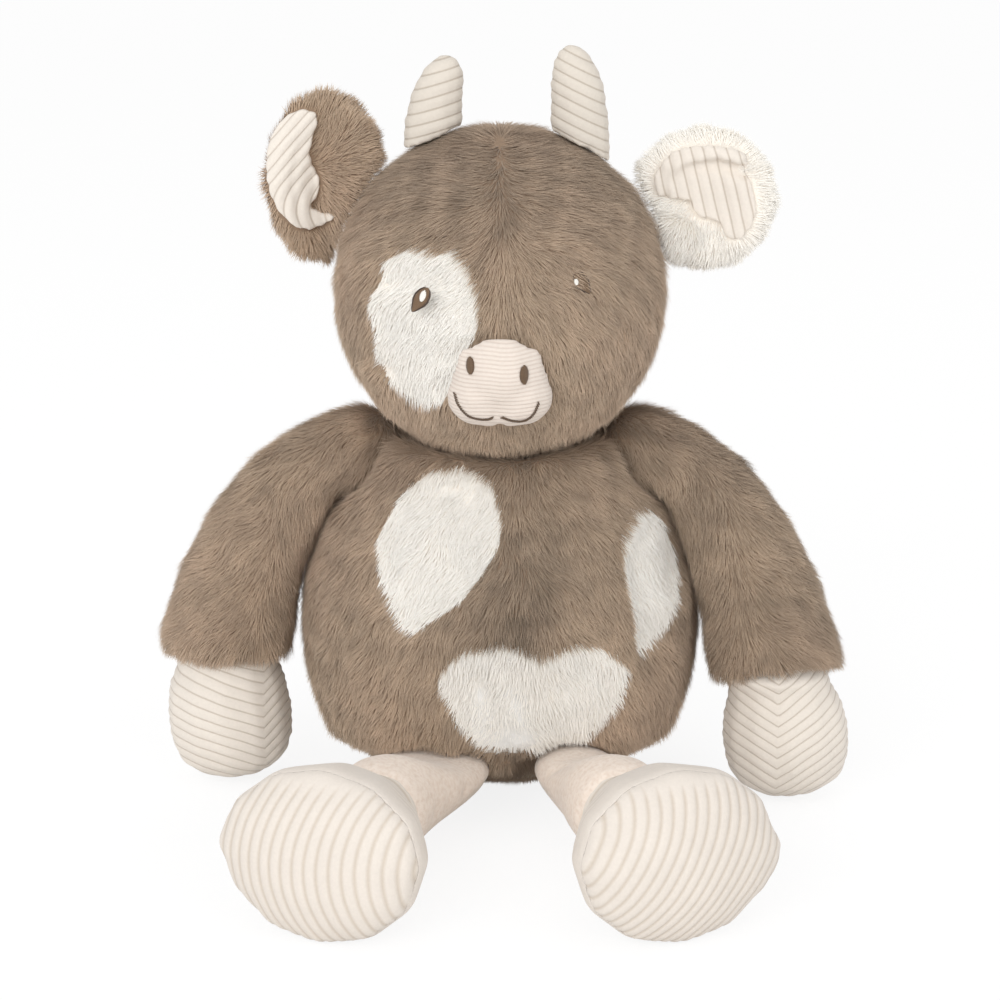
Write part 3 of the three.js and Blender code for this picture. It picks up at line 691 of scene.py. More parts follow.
# Each patch: the way it faces in degrees, its middle across and up, its half sizes and its outline
PATCHES = {
    "eye_patch": (
        -29.8, 0, 190, 22.5, 30,
        [(-0.81, 0.75), (-0.2, 0.97), (0.24, 0.89), (0.51, 0.99), (0.8, 0.71), (1, 0.38), (0.97, -0.03),
         (0.76, -0.24), (0.52, -0.59), (0.22, -0.92), (-0.26, -1.03), (-0.82, -0.78), (-1, -0.54),
         (-0.91, -0.13), (-1, 0.23), (-0.8, 0.57)],
    ),
    "belly_patch_upper": (
        -25.7, 0, 105.5, 24, 29.5,
        [(-0.27, 0.93), (0.38, 0.98), (0.74, 0.82), (1, 0.33), (1, 0.06), (0.63, -0.49),
         (0.17, -0.8), (-0.15, -1), (-0.36, -0.94), (-0.78, -0.44), (-1, 0.02), (-0.74, 0.59)],
    ),
    "belly_patch_lower": (
        12, 1, 49, 37, 24.5,
        [(-0.98, 0.51), (-0.76, 0.89), (-0.32, 0.98), (0.02, 0.77), (0.38, 0.92), (0.64, 0.88),
         (0.98, 0.41), (0.9, -0.15), (0.56, -0.69), (0.16, -1.01), (-0.16, -0.69), (-0.58, -0.66),
         (-0.77, -0.37), (-0.98, 0.29)],
    ),
    "belly_patch_side": (
        58.5, 3, 89, 19, 26.5,
        [(-0.2, 0.98), (0.37, 0.94), (0.79, 0.64), (0.95, 0.26), (0.82, -0.08), (0.57, -0.36),
         (0.1, -0.67), (-0.4, -0.95), (-0.6, -1.02), (-0.81, -0.88), (-0.97, -0.34), (-0.97, 0.23),
         (-0.79, 0.64), (-0.36, 0.87)],
    ),
}
BELLY_PATCHES = ("belly_patch_upper", "belly_patch_lower", "belly_patch_side")
PATCH_FRONT = 38


def on_patch(points, name):
    """True where a place lies under the patch's outline."""
    facing, across, height, half_width, half_height, outline = PATCHES[name]
    angle = math.radians(facing)
    middle = np.array(HEAD_CENTRE if name == "eye_patch" else (0, 0, 0)) * MM
    offset = points - middle
    sideways = offset @ np.array([math.cos(angle), math.sin(angle), 0]) / MM - across
    outward = offset @ np.array([math.sin(angle), -math.cos(angle), 0])
    upward = points[:, 2] / MM - height
    corners = np.array(outline) * (half_width, half_height)
    within = np.zeros(len(points), bool)
    for (x0, y0), (x1, y1) in zip(corners, np.roll(corners, -1, axis=0)):
        crossing = (y0 > upward) != (y1 > upward)
        slope = (x1 - x0) / (y1 - y0) if y1 != y0 else 0
        within ^= crossing & (sideways < x0 + (upward - y0) * slope)
    return within & (outward > PATCH_FRONT * MM)


def quarter(points, stem, centre):
    """The name of the front, right, back or left piece that a place belongs to."""
    turn = np.degrees(np.arctan2(points[:, 0] - centre[0] * MM, -(points[:, 1] - centre[1] * MM)))
    names = np.full(len(points), f"{stem}_front", dtype=object)
    names[turn > 45] = f"{stem}_left"
    names[turn < -45] = f"{stem}_right"
    names[np.abs(turn) > 135] = f"{stem}_back"
    return names


def near_line(points, path, width):
    """1 on the line, falling to 0 beside it."""
    return np.exp(-((gap_to(points, path) / width) ** 2))


def away_from(points, places, radius, soft):
    """0 within radius of any of the places, 1 past radius and soft, eased between."""
    share = np.ones(len(points))
    for place in places:
        gap = np.linalg.norm(points - np.array(place) * MM, axis=1) / MM
        share = np.minimum(share, soft_steps((gap - radius) / soft))
    return share


# Body and head
BODY_SEAM = [(2, -60, 150), (4, -66, 120), (6, -70, 90), (7, -69, 60), (12, -60, 25), (14, -40, 8)]
HEAD_SEAM = [(3, -60, 255), (4, -75, 235), (5, -80, 215), (4, -80, 200)]
EAR_ROOTS = [(-52, -8, 222), (-48, -6, 236), (54, -4, 218), (50, -4, 232)]
SUNK_EYE = [(26.2, -62, 209), (27.6, -62, 210.2), (30, -61, 208.6), (32, -61, 206.5)]


def settled(points):
    """Where the hips and the belly over them sink to under the toy's own weight, in millimetres."""
    x, y, z = points.T
    hip_low, hip_top, sunk_to = 18, 46, 78
    below = 0.55 * np.maximum(z - hip_low, 0)
    above = 15.4 * np.clip(1 - (z - hip_top) / (sunk_to - hip_top), 0, 1)
    sink = np.where(z < hip_top, below, above)
    beside = ease(np.abs(x), 82, 62) * ease(y, -2, -32)
    return points - np.stack([0 * x, 0 * x, sink * ease(y, -102, -62) * beside], axis=1)


def belly_settled(points):
    """The body's underside drawn back between the legs, in millimetres."""
    points = settled(points)
    low = soft_steps(1 - points[:, 2] / 34) * ease(points[:, 1], 0, -40)
    points[:, 1] += 10 * low
    points[:, 2] = np.maximum(points[:, 2] + 2 * low, 0.6)
    return points


def make_body():
    skin = stuffed("body", "seat_pellet_pouch", voxel=4.5, grow=-1.4, most=2)
    crease(skin, BODY_SEAM, width=5, depth=1.7)
    points = reshape(skin, belly_settled) * MM
    carry(skin, "patch", np.any([on_patch(points, name) for name in BELLY_PATCHES], axis=0))
    return dress(skin, BACKING, "torso", "body_shell", fill=0.85)


def make_head():
    skin = stuffed("head", voxel=4.5, grow=-1.4, most=2)
    crease(skin, HEAD_SEAM, width=6, depth=0.5)
    carry(skin, "patch", on_patch(points_of(skin), "eye_patch"))
    return dress(skin, BACKING, "head", "head_shell", fill=0.9)


def clothe(skin, body, patches, centre, seed, comb, share, walls, bare, dim):
    """Fur on the body or head: four taupe pieces, and a cream piece for each patch."""

    def split(points):
        names = quarter(points, skin.name.replace("cover", "fur"), centre)
        for patch in patches:
            names[on_patch(points, patch)] = f"{patch}_fur"
        return names

    def pale(points):
        return np.any([on_patch(points, patch) for patch in patches], axis=0)

    for piece in lay_fur(skin, COAT, comb, share, seed, split, walls, bare, pale, dim):
        patch = piece.name.replace("_fur", "")
        dress(piece, *((CREAM, body, patch) if patch in patches else (TAUPE, body)))


def clothe_body(skin, walls):
    def comb(points):
        x = (points[:, 0] - 6 * MM) / (BODY_HALF_WIDTH * MM)
        out = np.sign(x) * np.minimum(1, np.abs(x) * 7) * 0.35
        return np.stack([out, 0 * x, -1 + 0 * x], axis=1)

    def share(points):
        return 0.35 + 0.65 * ease(points[:, 2] / MM, 1, 11)

    # Painted shade: strands along the belly's seam, where it folds in, are painted darker, and all the rest a
    # little lighter.
    def dim(points):
        return 1.05 * near_line(points, BODY_SEAM, 17) - 0.08

    clothe(skin, "torso", BELLY_PATCHES, (0, 0, 0), 11, comb, share, walls, (), dim)


def clothe_head(skin, walls, bare):
    def comb(points):
        x = points[:, 0] / (HEAD_RADIUS * MM)
        z = (points[:, 2] - HEAD_CENTRE[2] * MM) / (HEAD_RADIUS * MM)
        high = soft_steps(z + 0.3)
        out = np.sign(x) * np.minimum(1, np.abs(x) * 3.5) * (0.35 + 0.9 * high)
        return np.stack([out, 0.2 * high + 0 * x, -0.55 - 0.5 * (1 - high)], axis=1)

    def share(points):
        near_ears = 1 - away_from(points, EAR_ROOTS, 6, 12)
        return 0.25 + 0.75 * away_from(points, SUNK_EYE, 0.6, 2) + 0.4 * near_ears

    # Painted shade: strands are painted darker towards the top of the head and along its seam, and a little
    # lighter elsewhere.
    def dim(points):
        return 0.45 * ease(points[:, 2] / MM, 205, 240) + 0.2 * near_line(points, HEAD_SEAM, 10) - 0.12

    clothe(skin, "head", ("eye_patch",), HEAD_CENTRE, 23, comb, share, walls, bare, dim)


# Arms
ARM_FOLDS = {
    "right": [(-88, -32, 98), (-93, -32, 86), (-95, -32, 76), (-96, -31, 68)],
    "left": [(84.8, -38, 98), (90, -42, 87), (95.2, -45, 77)],
}
WRISTS = {"right": (-107, -6, 58), "left": (106, -25, 53)}
WRIST_RADIUS = 23.5
# A place on the edge of each cuff, and the way up across it
CUFFS = {"right": ((-107, -6, 57), (0.05, 0.1, 1)), "left": ((106, -25, 54.5), (-0.12, 0.3, 1))}


def make_arm(name):
    """A sleeve that is closed by a ball over the hand's root and cut level at the cuff."""
    skin = copy_of(f"{name}_arm_cover", f"{name}_arm_sleeve", f"{name}_arm_stuffing")
    skin = finish_form(with_ball(skin, WRISTS[name], WRIST_RADIUS), voxel=2.6, grow=-1, detail=False)
    place, way = CUFFS[name]
    swell(skin, 1.1 * MM * ease(points_of(skin)[:, 2] / MM, place[2] + 26, place[2] + 6))
    cut_at(skin, place, way)
    modify(skin, "TRIANGULATE")
    crease(skin, ARM_FOLDS[name], width=4, depth=3.2)
    carry(skin, "patch", np.zeros(len(skin.data.vertices)))
    return dress(skin, BACKING, f"{name}_arm", f"{name}_arm_sleeve", fill=0.75)


def clothe_arm(skin, name, sign, walls):
    rim = points_of(skin)[:, 2].min() / MM
    shoulder = np.array([sign * 54, 0, 133]) * MM

    def comb(points):
        out = soft_steps(1 - np.linalg.norm(points - shoulder, axis=1) / (80 * MM))
        cuff = soft_steps((rim + 20 - points[:, 2] / MM) / 16)
        outer = ease(sign * points[:, 0] / MM, 84, 98)
        across = sign * ((1.25 * outer - 0.2 + 0.9 * out) * (1 - 0.6 * cuff))
        return np.stack([across, 0 * out, -1 + 0.2 * out], axis=1)

    def share(points):
        return 1 + 0.15 * soft_steps((rim + 12 - points[:, 2] / MM) / 8)

    def split(points):
        return np.where(points[:, 1] < -6 * MM, f"{name}_arm_fur_front", f"{name}_arm_fur_back")

    # Painted shade in the arm's folds, and painted light by side: the right arm, on the key lamp's side, is a
    # little lighter and the left arm darker.
    def dim(points):
        return 1.0 * near_line(points, ARM_FOLDS[name], 4) - (0.12 if sign < 0 else -0.22)

    for piece in lay_fur(skin, dict(COAT, hang=0.8), comb, share, 37 + sign, split, walls, dim=dim):
        dress(piece, TAUPE, f"{name}_arm")


# Corduroy
RIB = 4.3  # from groove to groove, in millimetres


def ribbed(piece, cycles, height, fade=None):
    """Rounds the ribs of the cloth. cycles counts them, and fade is 0 where they are worn flat."""
    fade = np.ones(len(cycles)) if fade is None else fade
    swell(piece, -height * MM * (0.5 + 0.5 * np.cos(2 * math.pi * cycles)) * fade)
    carry(piece, "ribs", cycles)
    carry(piece, "fade", fade)


def tucked(points, sign):
    """The hand's root, drawn in so that it stays inside the cuff, in millimetres."""
    wrist = np.array(WRISTS["right" if sign < 0 else "left"], float)
    return points + (wrist - points) * 0.22 * ease(points[:, 2], 50, 57)[:, None]


def make_hand(name, sign):
    """A hand whose ribs meet in a chevron along its middle."""

    def shape(points):
        points[:, 0] += ease(points[:, 2], 60, 35) * (sign * 1.5 + 0.04 * (points[:, 0] - sign * 107))
        return tucked(points, sign)

    skin = stuffed(f"{name}_hand", voxel=2)
    points = reshape(skin, shape)
    middle, left_rise, right_rise = (-91.5, 0.5, 0.9) if sign < 0 else (105.5, 0.6, 0.8)
    gap = points[:, 0] - middle
    rise = np.where(gap < 0, -gap * left_rise, gap * right_rise) - 0.0045 * gap * gap
    ribbed(skin, (points[:, 2] - rise + 0.5 * wander(points, 30, 9 + sign)) / RIB, 0.35)
    return dress(skin, CORD, f"{name}_hand", f"{name}_hand_shell", fill=0.8)


def make_horn(name, sign):
    middle, lean = (-23, 15) if sign < 0 else (25, -25)

    def shape(points):
        top = ease(points[:, 2], 262, 282)
        points[:, 0] += 0.16 * top * (points[:, 0] - middle)
        points[:, 1] += 0.16 * top * (points[:, 1] + 8)
        return points

    skin = stuffed(f"{name}_horn", voxel=1.6, rounds=3, most=0.6)
    points = reshape(skin, shape)
    ribbed(skin, (points[:, 2] - points[:, 0] * math.tan(math.radians(lean))) / RIB, 0.3)
    return dress(skin, SHADED_HORN_CORD, "head", f"{name}_horn_shell", fill=0.9)


def make_muzzle():
    """The muzzle, fuller at its top and notched under the mouth, with fine level ribs."""

    def shape(points):
        top = ease(points[:, 2], 177, 187)
        points[:, 0] += 0.09 * top * (points[:, 0] - 1)
        points[:, 2] += 3.5 * top
        points[:, 1] -= 1.5 * top
        notch = np.exp(-((points[:, 0] / 5) ** 2)) * ease(points[:, 2], 168, 162)
        points[:, 2] -= 2.6 * notch
        points[:, 1] -= 1.2 * notch
        return points

    skin = stuffed("muzzle", voxel=1.4, grow=0.2, rounds=6, most=0.6)
    points = reshape(skin, shape)
    level = points[:, 2] + 0.25 * np.sin(points[:, 0] * 0.35) - np.abs(points[:, 0]) * 0.06
    ribbed(skin, level / 1.5, 0)
    return dress(skin, MUZZLE_PILE, "head", "muzzle_shell", fill=0.85)


# Legs and feet
ANKLE_RADIUS, ANKLE_TO_SEAM = 15.5, 47
LEG_FOLDS = {
    "right": [
        [(-54, -80, 26), (-40, -86, 32), (-22, -92, 26)], [(-48, -92, 33), (-36, -98, 34), (-24, -102, 24)],
        [(-40, -72, 29), (-28, -80, 29), (-12, -80, 22)],
    ],
    "left": [[(20, -70, 27), (34, -82, 31), (50, -80, 28)], [(28, -90, 30), (38, -96, 34), (52, -94, 32)]],
}


def ankle_of(sign):
    return np.array([sign * 44, -110, 27.0])


def leg_settled(points, sign):
    """A leg as it lies under the belly, in millimetres."""
    points = settled(points)
    inward = 6 if sign < 0 else -3
    points[:, 0] -= sign * ease(points[:, 1], -112, -82) * ease(sign * points[:, 0], 34, 10) * inward
    return points


def make_leg(name, sign):
    """One soft leg, closed where the foot's round root sits in it, with its folds."""
    skin = copy_of(f"{name}_leg_cover", f"{name}_leg_shell", f"{name}_leg_stuffing")
    skin = finish_form(with_ball(skin, ankle_of(sign), ANKLE_RADIUS), voxel=2.4, grow=0.1)
    reshape(skin, lambda points: leg_settled(points, sign))
    for fold in LEG_FOLDS[name]:
        crease(skin, fold, width=3.2, depth=1.7 if sign < 0 else 1.2, facing=(0, -0.5, 0.8))
    return dress(skin, LEG_PILE, f"{name}_leg", f"{name}_leg_shell", fill=0.7)


def foot_axes(sign):
    """The way a foot points, the way across it and the way up over it."""
    splay, lift = math.radians(20), math.radians(4)
    level = np.array([sign * math.sin(splay), -math.cos(splay), 0])
    way = level * math.cos(lift) + (0, 0, math.sin(lift))
    across = unit(np.cross((0, 0, 1), way))
    return way, across, np.cross(way, across)


def make_foot(name, sign):
    """A foot shaped as one form, then cut at its seam into the upper and the sole."""
    way, across, over = foot_axes(sign)
    seam = ankle_of(sign) + way * ANKLE_TO_SEAM
    bulge, bulge_at, bulge_height = (2, 2, 14) if sign < 0 else (3, -6, 8)

    def shape(points):
        depth, u, v = ((points - seam) @ axis for axis in (way, across, over))
        outer = ease(u * sign, 14, 32) * np.exp(-(((v - bulge_at) / bulge_height) ** 2))
        wider = u * 0.09 + sign * bulge * outer
        lower = -0.06 * np.maximum(v, 0)
        return points + (across * wider[:, None] + over * lower[:, None]) * ease(depth, -34, -8)[:, None]

    nodes = (f"{name}_foot_upper", f"{name}_foot_sole", f"{name}_foot_stuffing")
    whole = finish_form(copy_of(f"{name}_foot_upper_cover", *nodes), voxel=2, grow=0.8)
    points = reshape(whole, shape)
    swell(whole, -0.3 * np.exp(-(((points - seam) @ way / 1.6) ** 2)) * MM)
    sole = add_object(f"{name}_foot_sole_cover", whole.data.copy())
    cut_at(whole, seam, way, keep_front=False)
    cut_at(sole, seam, way)

    points = points_of(sole) / MM - seam
    u, v = points @ across, points @ over
    bow = 0.010 * (v + 3) ** 2 if sign < 0 else (30 * v - v * v / 2) / 60
    bow += 0.4 * wander(points, 34, 5 + sign)
    ribbed(sole, (u - bow) / RIB, 0.35, ease(v, 28, 22))
    points = points_of(whole) / MM - seam
    depth = points @ way
    ribbed(whole, depth / RIB, 0.3, ease(depth, -4, -14) * ease(points @ over, 26, 16))
    for piece, node in zip((whole, sole), nodes):
        points = points_of(piece)
        points[:, 2] = np.maximum(points[:, 2], 0.05 * MM)
        move_points(piece, points)
        dress(piece, SOLE_CORD, f"{name}_foot", node, fill=0.8)


# Ears
# Outlines of the ribbed linings seen from the front, in millimetres, and the left ear's rolled edge
LININGS = {
    "right": [
        (-74.3, 263.8), (-70.4, 263.3), (-67.6, 261.8), (-67.7, 257.4), (-69.6, 252.4), (-70.7, 246.5),
        (-69.5, 242.5), (-67.4, 239.0), (-66.9, 235.1), (-68.5, 230.5), (-71.1, 227.6), (-67.1, 225.5),
        (-64.1, 225.5), (-61.6, 224.0), (-63.2, 222.0), (-67.2, 220.0), (-71.3, 219.0), (-75.2, 220.0),
        (-78.7, 222.5), (-82.1, 226.5), (-85.0, 232.1), (-86.5, 239.5), (-86.6, 246.5), (-85.2, 253.4),
        (-81.9, 258.3), (-78.3, 261.8),
    ],
    "left": [
        (63.9, 247.3), (68.1, 248.8), (71.5, 249.8), (77.0, 249.4), (83.4, 248.8), (88.6, 247.7),
        (91.2, 243.4), (93.1, 237.9), (95.0, 231.0), (96.0, 225.0), (94.0, 219.9), (90.7, 215.5),
        (87.7, 214.7), (84.2, 216.4), (82.4, 220.7), (79.8, 222.5), (75.4, 222.9), (72.0, 225.9),
        (71.1, 229.4), (65.0, 229.8), (59.5, 231.0), (58.1, 233.6), (57.6, 237.5), (58.8, 240.9),
        (61.3, 244.3),
    ],
}
ROLL = [(59.3, -8, 233.8), (62.5, -8, 240.5), (69.1, -8, 244.9), (78.7, -8, 246.8), (88.4, -8, 244.9)]


def stamp(outline, near, far):
    """A straight-sided block with the outline seen from the front."""
    mesh = bpy.data.meshes.new("stamp")
    corners = [(x * MM, y * MM, z * MM) for y in (near, far) for x, z in outline]
    count = len(outline)
    sides = [(k, (k + 1) % count, count + (k + 1) % count, count + k) for k in range(count)]
    mesh.from_pydata(corners, [], [tuple(range(count)), tuple(range(count, 2 * count)), *sides])
    block = add_object("stamp", mesh)
    in_edit_mode(block, bpy.ops.mesh.normals_make_consistent, inside=False)
    return block


def make_lining(name, sign):
    """The ribbed cloth in the ear's hollow, up to its sewn edge."""
    lining = copy_of(f"{name}_ear_ribbed_lining", f"{name}_ear_back", f"{name}_ear_lining")
    remesh(lining, 0.8)
    lining = without_crumbs(lining)
    relax(lining, 14)
    swell(lining, 0.9 * MM)
    block = stamp(LININGS[name], -40, 2)
    modify(lining, "BOOLEAN", operation="INTERSECT", solver="EXACT", object=block)
    bpy.data.objects.remove(block)
    lining = without_crumbs(lining)
    if sign < 0:
        cut_at(lining, (-80, -5.5, 240), (0.68, -0.74, 0))
    remesh(lining, 0.7)
    relax(lining, 4)
    if sign > 0:
        crease(lining, ROLL, width=3.4, depth=-2.8)
        crease(lining, [(x + 2, y, z - 4.5) for x, y, z in ROLL[1:]], width=2.4, depth=3)
    points = points_of(lining) / MM
    tilt = math.radians(47 if sign < 0 else 104)
    low = np.maximum(238 - points[:, 2], 0)
    bow, width = (0.03 * low**2, 3.5) if sign < 0 else (0, RIB)
    ribbed(lining, (points[:, 0] * -math.sin(tilt) + points[:, 2] * math.cos(tilt) + bow) / width, 0.4)
    return dress(lining, CORD, f"{name}_ear", f"{name}_ear_lining")


def make_ear(name, sign):
    """An ear's back cloth and the fur round its ribbed lining, taupe on the right, cream on the left."""
    lining = make_lining(name, sign)
    cream = sign > 0
    back = copy_of(f"{name}_ear_cloth", f"{name}_ear_back")
    remesh(back, 1.7)
    relax(back, 5)
    swell(back, -0.8 * MM)
    subdivide(back)
    carry(back, "patch", np.full(len(back.data.vertices), cream))
    dress(back, CREAM_BACKING if cream else BACKING, f"{name}_ear", f"{name}_ear_back")
    middle = points_of(lining).mean(axis=0)
    # Painted light: the ears' strands are painted lighter than the rest of the coat.
    coat = dict(COAT, length=5.8, lift=19, tone=0.9)
    [piece] = lay_fur(
        back, coat,
        comb=lambda points: points - middle + np.array([0, 4, 0]) * MM,
        share=lambda points: np.ones(len(points)),
        seed=51 + sign,
        split=lambda points: np.full(len(points), f"{name}_ear_fur"),
        walls=[lining],
        bare=[lining],
        pale=lambda points: np.full(len(points), cream),
    )
    dress(piece, CREAM if cream else TAUPE, f"{name}_ear")


# Embroidery
def thread(path, half, sides=6):
    """Corners and faces of one closed strand of thread along a path, thinner at its ends."""
    path = np.array(path, float)
    travel = unit(np.gradient(path, axis=0))
    side = unit(np.cross(travel, (0.13, 0.29, 0.95)))
    top = np.cross(side, travel)
    turns = np.arange(sides) * 2 * math.pi / sides
    rows = []
    for at, s, t, share in zip(path, side, top, np.linspace(0, 1, len(path))):
        thick = half * (0.55 + 0.45 * min(1, 8 * share * (1 - share) + 0.1))
        rows.append([at + thick * (math.cos(turn) * s + math.sin(turn) * t) for turn in turns])
    corners = np.array(rows).reshape(-1, 3)
    faces = [tuple(range(sides)), tuple(reversed(range(len(corners) - sides, len(corners))))]
    for row in range(len(path) - 1):
        for k in range(sides):
            a, b = row * sides + k, row * sides + (k + 1) % sides
            faces.append((b, a, a + sides, b + sides))
    return corners, faces


def stitched(name, threads, tones, finish, node):
    """Many strands of thread as one embroidered mark, each with its tone from 0, dark, to 1."""
    faces, shades = [], []
    for (spots, rings), tone in zip(threads, np.broadcast_to(tones, len(threads))):
        faces += [tuple(index + len(shades) for index in ring) for ring in rings]
        shades += [tone] * len(spots)
    mesh = bpy.data.meshes.new(name)
    mesh.from_pydata(np.concatenate([spots for spots, _ in threads]).tolist(), [], faces)
    piece = add_object(name, mesh)
    in_edit_mode(piece, bpy.ops.mesh.normals_make_consistent, inside=False)
    carry(piece, "tone", shades)
    return dress(piece, finish, "head", node)


def satin(outline, ground, lean, spacing=0.42, half=0.27, arch=0.5):
    """Threads laid side by side across a closed outline seen from the front, in millimetres."""
    angle = math.radians(lean)
    run = np.array([math.cos(angle), math.sin(angle)])
    step = np.array([-math.sin(angle), math.cos(angle)])
    corners = np.array(outline, float)
    heights = corners @ step
    threads = []
    for height in np.arange(heights.min() + spacing / 2, heights.max(), spacing):
        cuts = []
        for a, b in zip(corners, np.roll(corners, -1, axis=0)):
            ha, hb = a @ step, b @ step
            if (ha > height) != (hb > height):
                cuts.append((a + (b - a) * (height - ha) / (hb - ha)) @ run)
        cuts.sort()
        for low, high in zip(cuts[::2], cuts[1::2]):
            path = []
            for share in np.linspace(0, 1, 7):
                across = run * (low + (high - low) * share) + step * height
                path.append(ground(*across, arch * 4 * share * (1 - share)) * MM)
            threads.append(thread(path, half * MM))
    return threads


def outlined(outline, ground, half):
    """One thick thread that runs round an outline."""
    closed = np.array([*outline, outline[0]])
    spots = np.linspace(0, len(outline), 40)
    path = [np.interp(spots, np.arange(len(closed)), closed[:, k]) for k in (0, 1)]
    return [thread([ground(x, z, 0.1) * MM for x, z in zip(*path)], half * MM)]


def on_head(lift):
    """A rule for places on the fur's outline on the head, this much higher, seen from the front."""
    centre = np.array(HEAD_CENTRE)

    def ground(x, z, rise):
        radius = HEAD_RADIUS + 0.4 + (rise + lift)
        return np.array([x, centre[1] - math.sqrt(max(radius**2 - x**2 - (z - centre[2]) ** 2, 1)), z])

    return ground


def on_piece(piece):
    """A rule for places just over the front of a piece."""
    tree = BVHTree.FromObject(piece, bpy.context.evaluated_depsgraph_get())

    def ground(x, z, rise):
        spot, normal, _, _ = tree.ray_cast(Vector((x * MM, -0.2, z * MM)), Vector((0, 1, 0)))
        if spot is None:
            spot, normal, _, _ = tree.find_nearest(Vector((x * MM, -0.09, z * MM)))
        return np.array(spot) / MM + np.array(normal) * (0.15 + rise)

    return ground


def turned_outline(shares, across, height, half_width, half_height, lean=0):
    angle = math.radians(lean)
    points = np.array(shares) * (half_width, half_height)
    spin = np.array([[math.cos(angle), math.sin(angle)], [-math.sin(angle), math.cos(angle)]])
    return points @ spin + (across, height)


TEARDROP = [(0, 1), (0.45, 0.88), (0.8, 0.62), (1, 0.15), (0.88, -0.2), (0.62, -0.45), (0.3, -0.8), (0, -1),
            (-0.3, -0.8), (-0.62, -0.45), (-0.88, -0.2), (-1, 0.15), (-0.8, 0.62), (-0.45, 0.88)]
ROUND = [(math.cos(a), math.sin(a)) for a in np.linspace(0, 2 * math.pi, 16, endpoint=False)]
MOUTH = [(-15.9, 170.1), (-15, 167), (-13.2, 164.4), (-11, 162.4), (-8.9, 161.6), (-6.5, 161.2),
         (-4.3, 161.3), (-2.4, 161.9), (-1.1, 162.2), (0.8, 161.8), (2.8, 161.1), (5, 160.5),
         (7.1, 160.2), (9.2, 160.7), (11, 162.1), (12.5, 164.4), (13.5, 167.2)]
# Places on the face in millimetres: across, up, half width, half height and lean in degrees
MARKS = {
    "right": {
        "eye": (-28.2, 202.5, 2.6, 5.2, -34), "glint": (-27.2, 204.1, 1.05, 2.0, -20),
        "nostril": (-10.4, 180.9, 1.5, 3.1), "sunk": 0,
    },
    "left": {
        "eye": (29.2, 207.8, 2.4, 4.6, 36), "glint": (26.9, 208.8, 0.75, 1.1, 12),
        "nostril": (8.4, 177.9, 1.6, 3.3), "sunk": 2.3,
    },
}
MOUTH_HALF, MOUTH_GAP = 0.72, (-2.6, 0.5)


def make_mouth(ground):
    """Slanting stitches along the mouth, with a gap at its middle."""
    path = np.array(MOUTH)
    share = np.linspace(0, len(path) - 1, 60)
    line = np.stack([np.interp(share, np.arange(len(path)), path[:, k]) for k in (0, 1)], axis=1)
    threads = []
    for at, way, step in zip(line, unit(np.gradient(line, axis=0)), np.linspace(0, 1, len(line))):
        if MOUTH_GAP[0] < at[0] < MOUTH_GAP[1]:
            continue
        slant = np.array([way[0] * 0.75 - way[1] * 0.65, way[1] * 0.75 + way[0] * 0.65])
        half = MOUTH_HALF * (0.75 + 0.25 * abs(math.cos(math.pi * step * 2)))
        spots = [ground(*(at + slant * half * k), 0.25 * (1 - k * k)) * MM for k in (-1, -0.5, 0, 0.5, 1)]
        threads.append(thread(spots, 0.26 * MM))
    stitched("mouth_stitches", threads, 0.45, BROWN, "mouth_stitching")


def make_face(muzzle):
    """The embroidered marks. Returns the right eye, which the fur has to leave bare."""
    on_muzzle = on_piece(muzzle)
    eyes = {}
    for name, mark in MARKS.items():
        shape = turned_outline(TEARDROP, *mark["eye"])
        ground = on_head(-mark["sunk"])
        rim = outlined(shape, ground, 0.34)
        centre = satin(shape, ground, mark["eye"][4])
        tones = [0] * len(rim) + [1] * len(centre)
        eyes[name] = stitched(f"{name}_eye_stitches", rim + centre, tones, BROWN, f"{name}_eye")
        shape = turned_outline(ROUND, *mark["glint"])
        shine = satin(shape, on_head(0.6 - mark["sunk"] * 0.5), mark["glint"][4], arch=0.3)
        stitched(f"{name}_eye_highlight", shine, 1, WHITE, f"{name}_eye_glint")
        stitches = satin(turned_outline(ROUND, *mark["nostril"]), on_muzzle, 4)
        stitched(f"{name}_nostril_stitches", stitches, 0.7, BROWN, f"{name}_nostril")
    make_mouth(on_muzzle)
    return eyes["right"]


# Room
# Lamps: place and size in metres, power in watts
LAMPS = {
    "key": ((-0.8, -1.7, 0.95), 1.2, 15.5),
    "fill": ((1.3, -1.3, 0.6), 1.2, 5),
    "top": ((0.1, 0.4, 1.6), 1.0, 1.5),
}
SKY_STRENGTH = 0.68
FLOOR_GLOW, FLOOR_GLOW_SHARE = 1.07, 0.8
SENSOR, FOCAL_PX, PHOTO_PX = 36, 2390, 1000
CAMERA_DISTANCE, CAMERA_LIFT = 0.93, math.radians(15)


def aim(holder, place, target):
    """Puts a lamp or the camera at a place and turns it to the target."""
    holder.location = place
    holder.rotation_euler = (Vector(target) - Vector(place)).to_track_quat("-Z", "Y").to_euler()


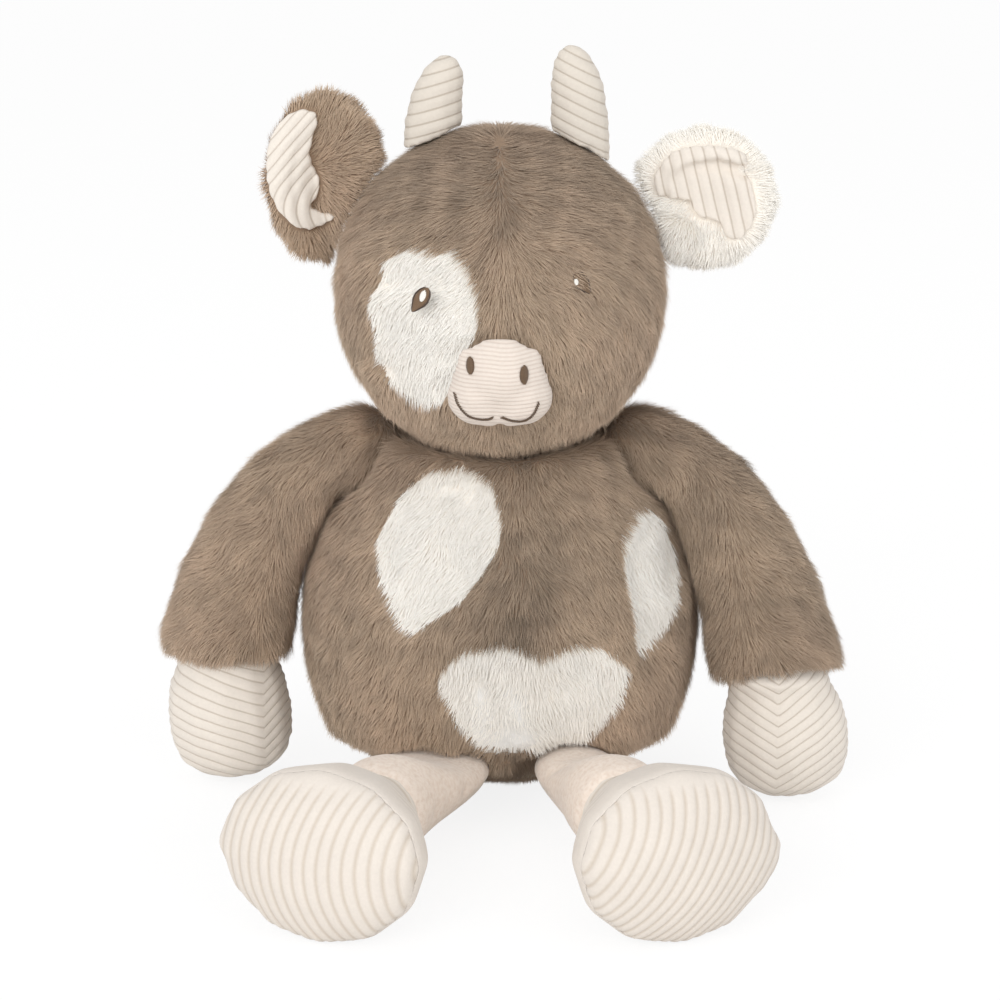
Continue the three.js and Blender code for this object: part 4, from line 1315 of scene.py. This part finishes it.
def set_room():
    """Pale floor, soft light from the front and above, and the photograph's viewing angle."""
    scene = bpy.context.scene
    bpy.ops.mesh.primitive_plane_add(size=30, location=(0, 8, -0.4 * MM))
    floor = bpy.context.object
    floor.name = "pale_floor"
    ground = Finish("pale floor", (0.9, 0.9, 0.9), 0.95)
    seen = ground.node("LightPath", {}, "Is Camera Ray")
    glow = ground.node("Emission", {"Color": (1, 1, 1), "Strength": FLOOR_GLOW})
    lit = Wire(ground, ground.surface.outputs[0])
    mixed = ground.node("MixShader", {0: seen * FLOOR_GLOW_SHARE, 1: lit, 2: glow})
    ground.feed(ground.tree.nodes["Material Output"], {"Surface": mixed})
    floor.data.materials.append(ground.material)

    scene.world = bpy.data.worlds.new("studio")
    scene.world.use_nodes = True
    sky = scene.world.node_tree.nodes["Background"]
    sky.inputs["Color"].default_value = (1, 1, 1, 1)
    sky.inputs["Strength"].default_value = SKY_STRENGTH

    for name, (place, size, power) in LAMPS.items():
        lamp = bpy.data.lights.new(name, "AREA")
        set_all(lamp, size=size, energy=power)
        aim(add_object(name, lamp), place, (0, 0, 0.14))

    lens = bpy.data.cameras.new("photo_view")
    set_all(lens, sensor_width=SENSOR, lens=SENSOR * FOCAL_PX / PHOTO_PX)
    scene.camera = add_object("photo_view", lens)
    target = Vector((0, 0, 0.112))
    away = Vector((0, -math.cos(CAMERA_LIFT), math.sin(CAMERA_LIFT)))
    aim(scene.camera, target + CAMERA_DISTANCE * away, target)
    scene.view_settings.view_transform = "Standard"


# Build
set_room()
body_skin = make_body()
head_skin = make_head()
muzzle = make_muzzle()
arms = {name: make_arm(name) for name in SIDES}
hands, horns, legs = (
    {name: make(name, sign) for name, sign in SIDES.items()} for make in (make_hand, make_horn, make_leg)
)
for name, sign in SIDES.items():
    make_foot(name, sign)
right_eye = make_face(muzzle)

clothe_head(head_skin, [body_skin, *horns.values()], [muzzle, right_eye])
clothe_body(body_skin, [head_skin, *arms.values(), *legs.values()])
for name, sign in SIDES.items():
    clothe_arm(arms[name], name, sign, [body_skin, hands[name]])
    make_ear(name, sign)

fill_piece("body_stuffing", "torso", 5, belly_settled)
fill_piece("head_stuffing", "head", 5)
fill_piece("muzzle_stuffing", "head", 2)
for name, sign in SIDES.items():
    fill_piece(f"{name}_horn_stuffing", "head", 2)
    fill_piece(f"{name}_arm_stuffing", f"{name}_arm", 3)
    fill_piece(f"{name}_hand_stuffing", f"{name}_hand", 3, lambda points: tucked(points, sign))
    fill_piece(f"{name}_leg_stuffing", f"{name}_leg", 3, lambda points: leg_settled(points, sign))
    fill_piece(f"{name}_foot_stuffing", f"{name}_foot", 3)

pouch = copy_of("pellet_pouch", "seat_pellet_pouch")
remesh(pouch, 2.5)
relax(pouch, 4)
swell(pouch, -MM * (0.5 + 0.4 * wander(points_of(pouch), 5 * MM, 3)))
dress(pouch, LINEN, "torso", "seat_pellet_pouch", fill=0.5)
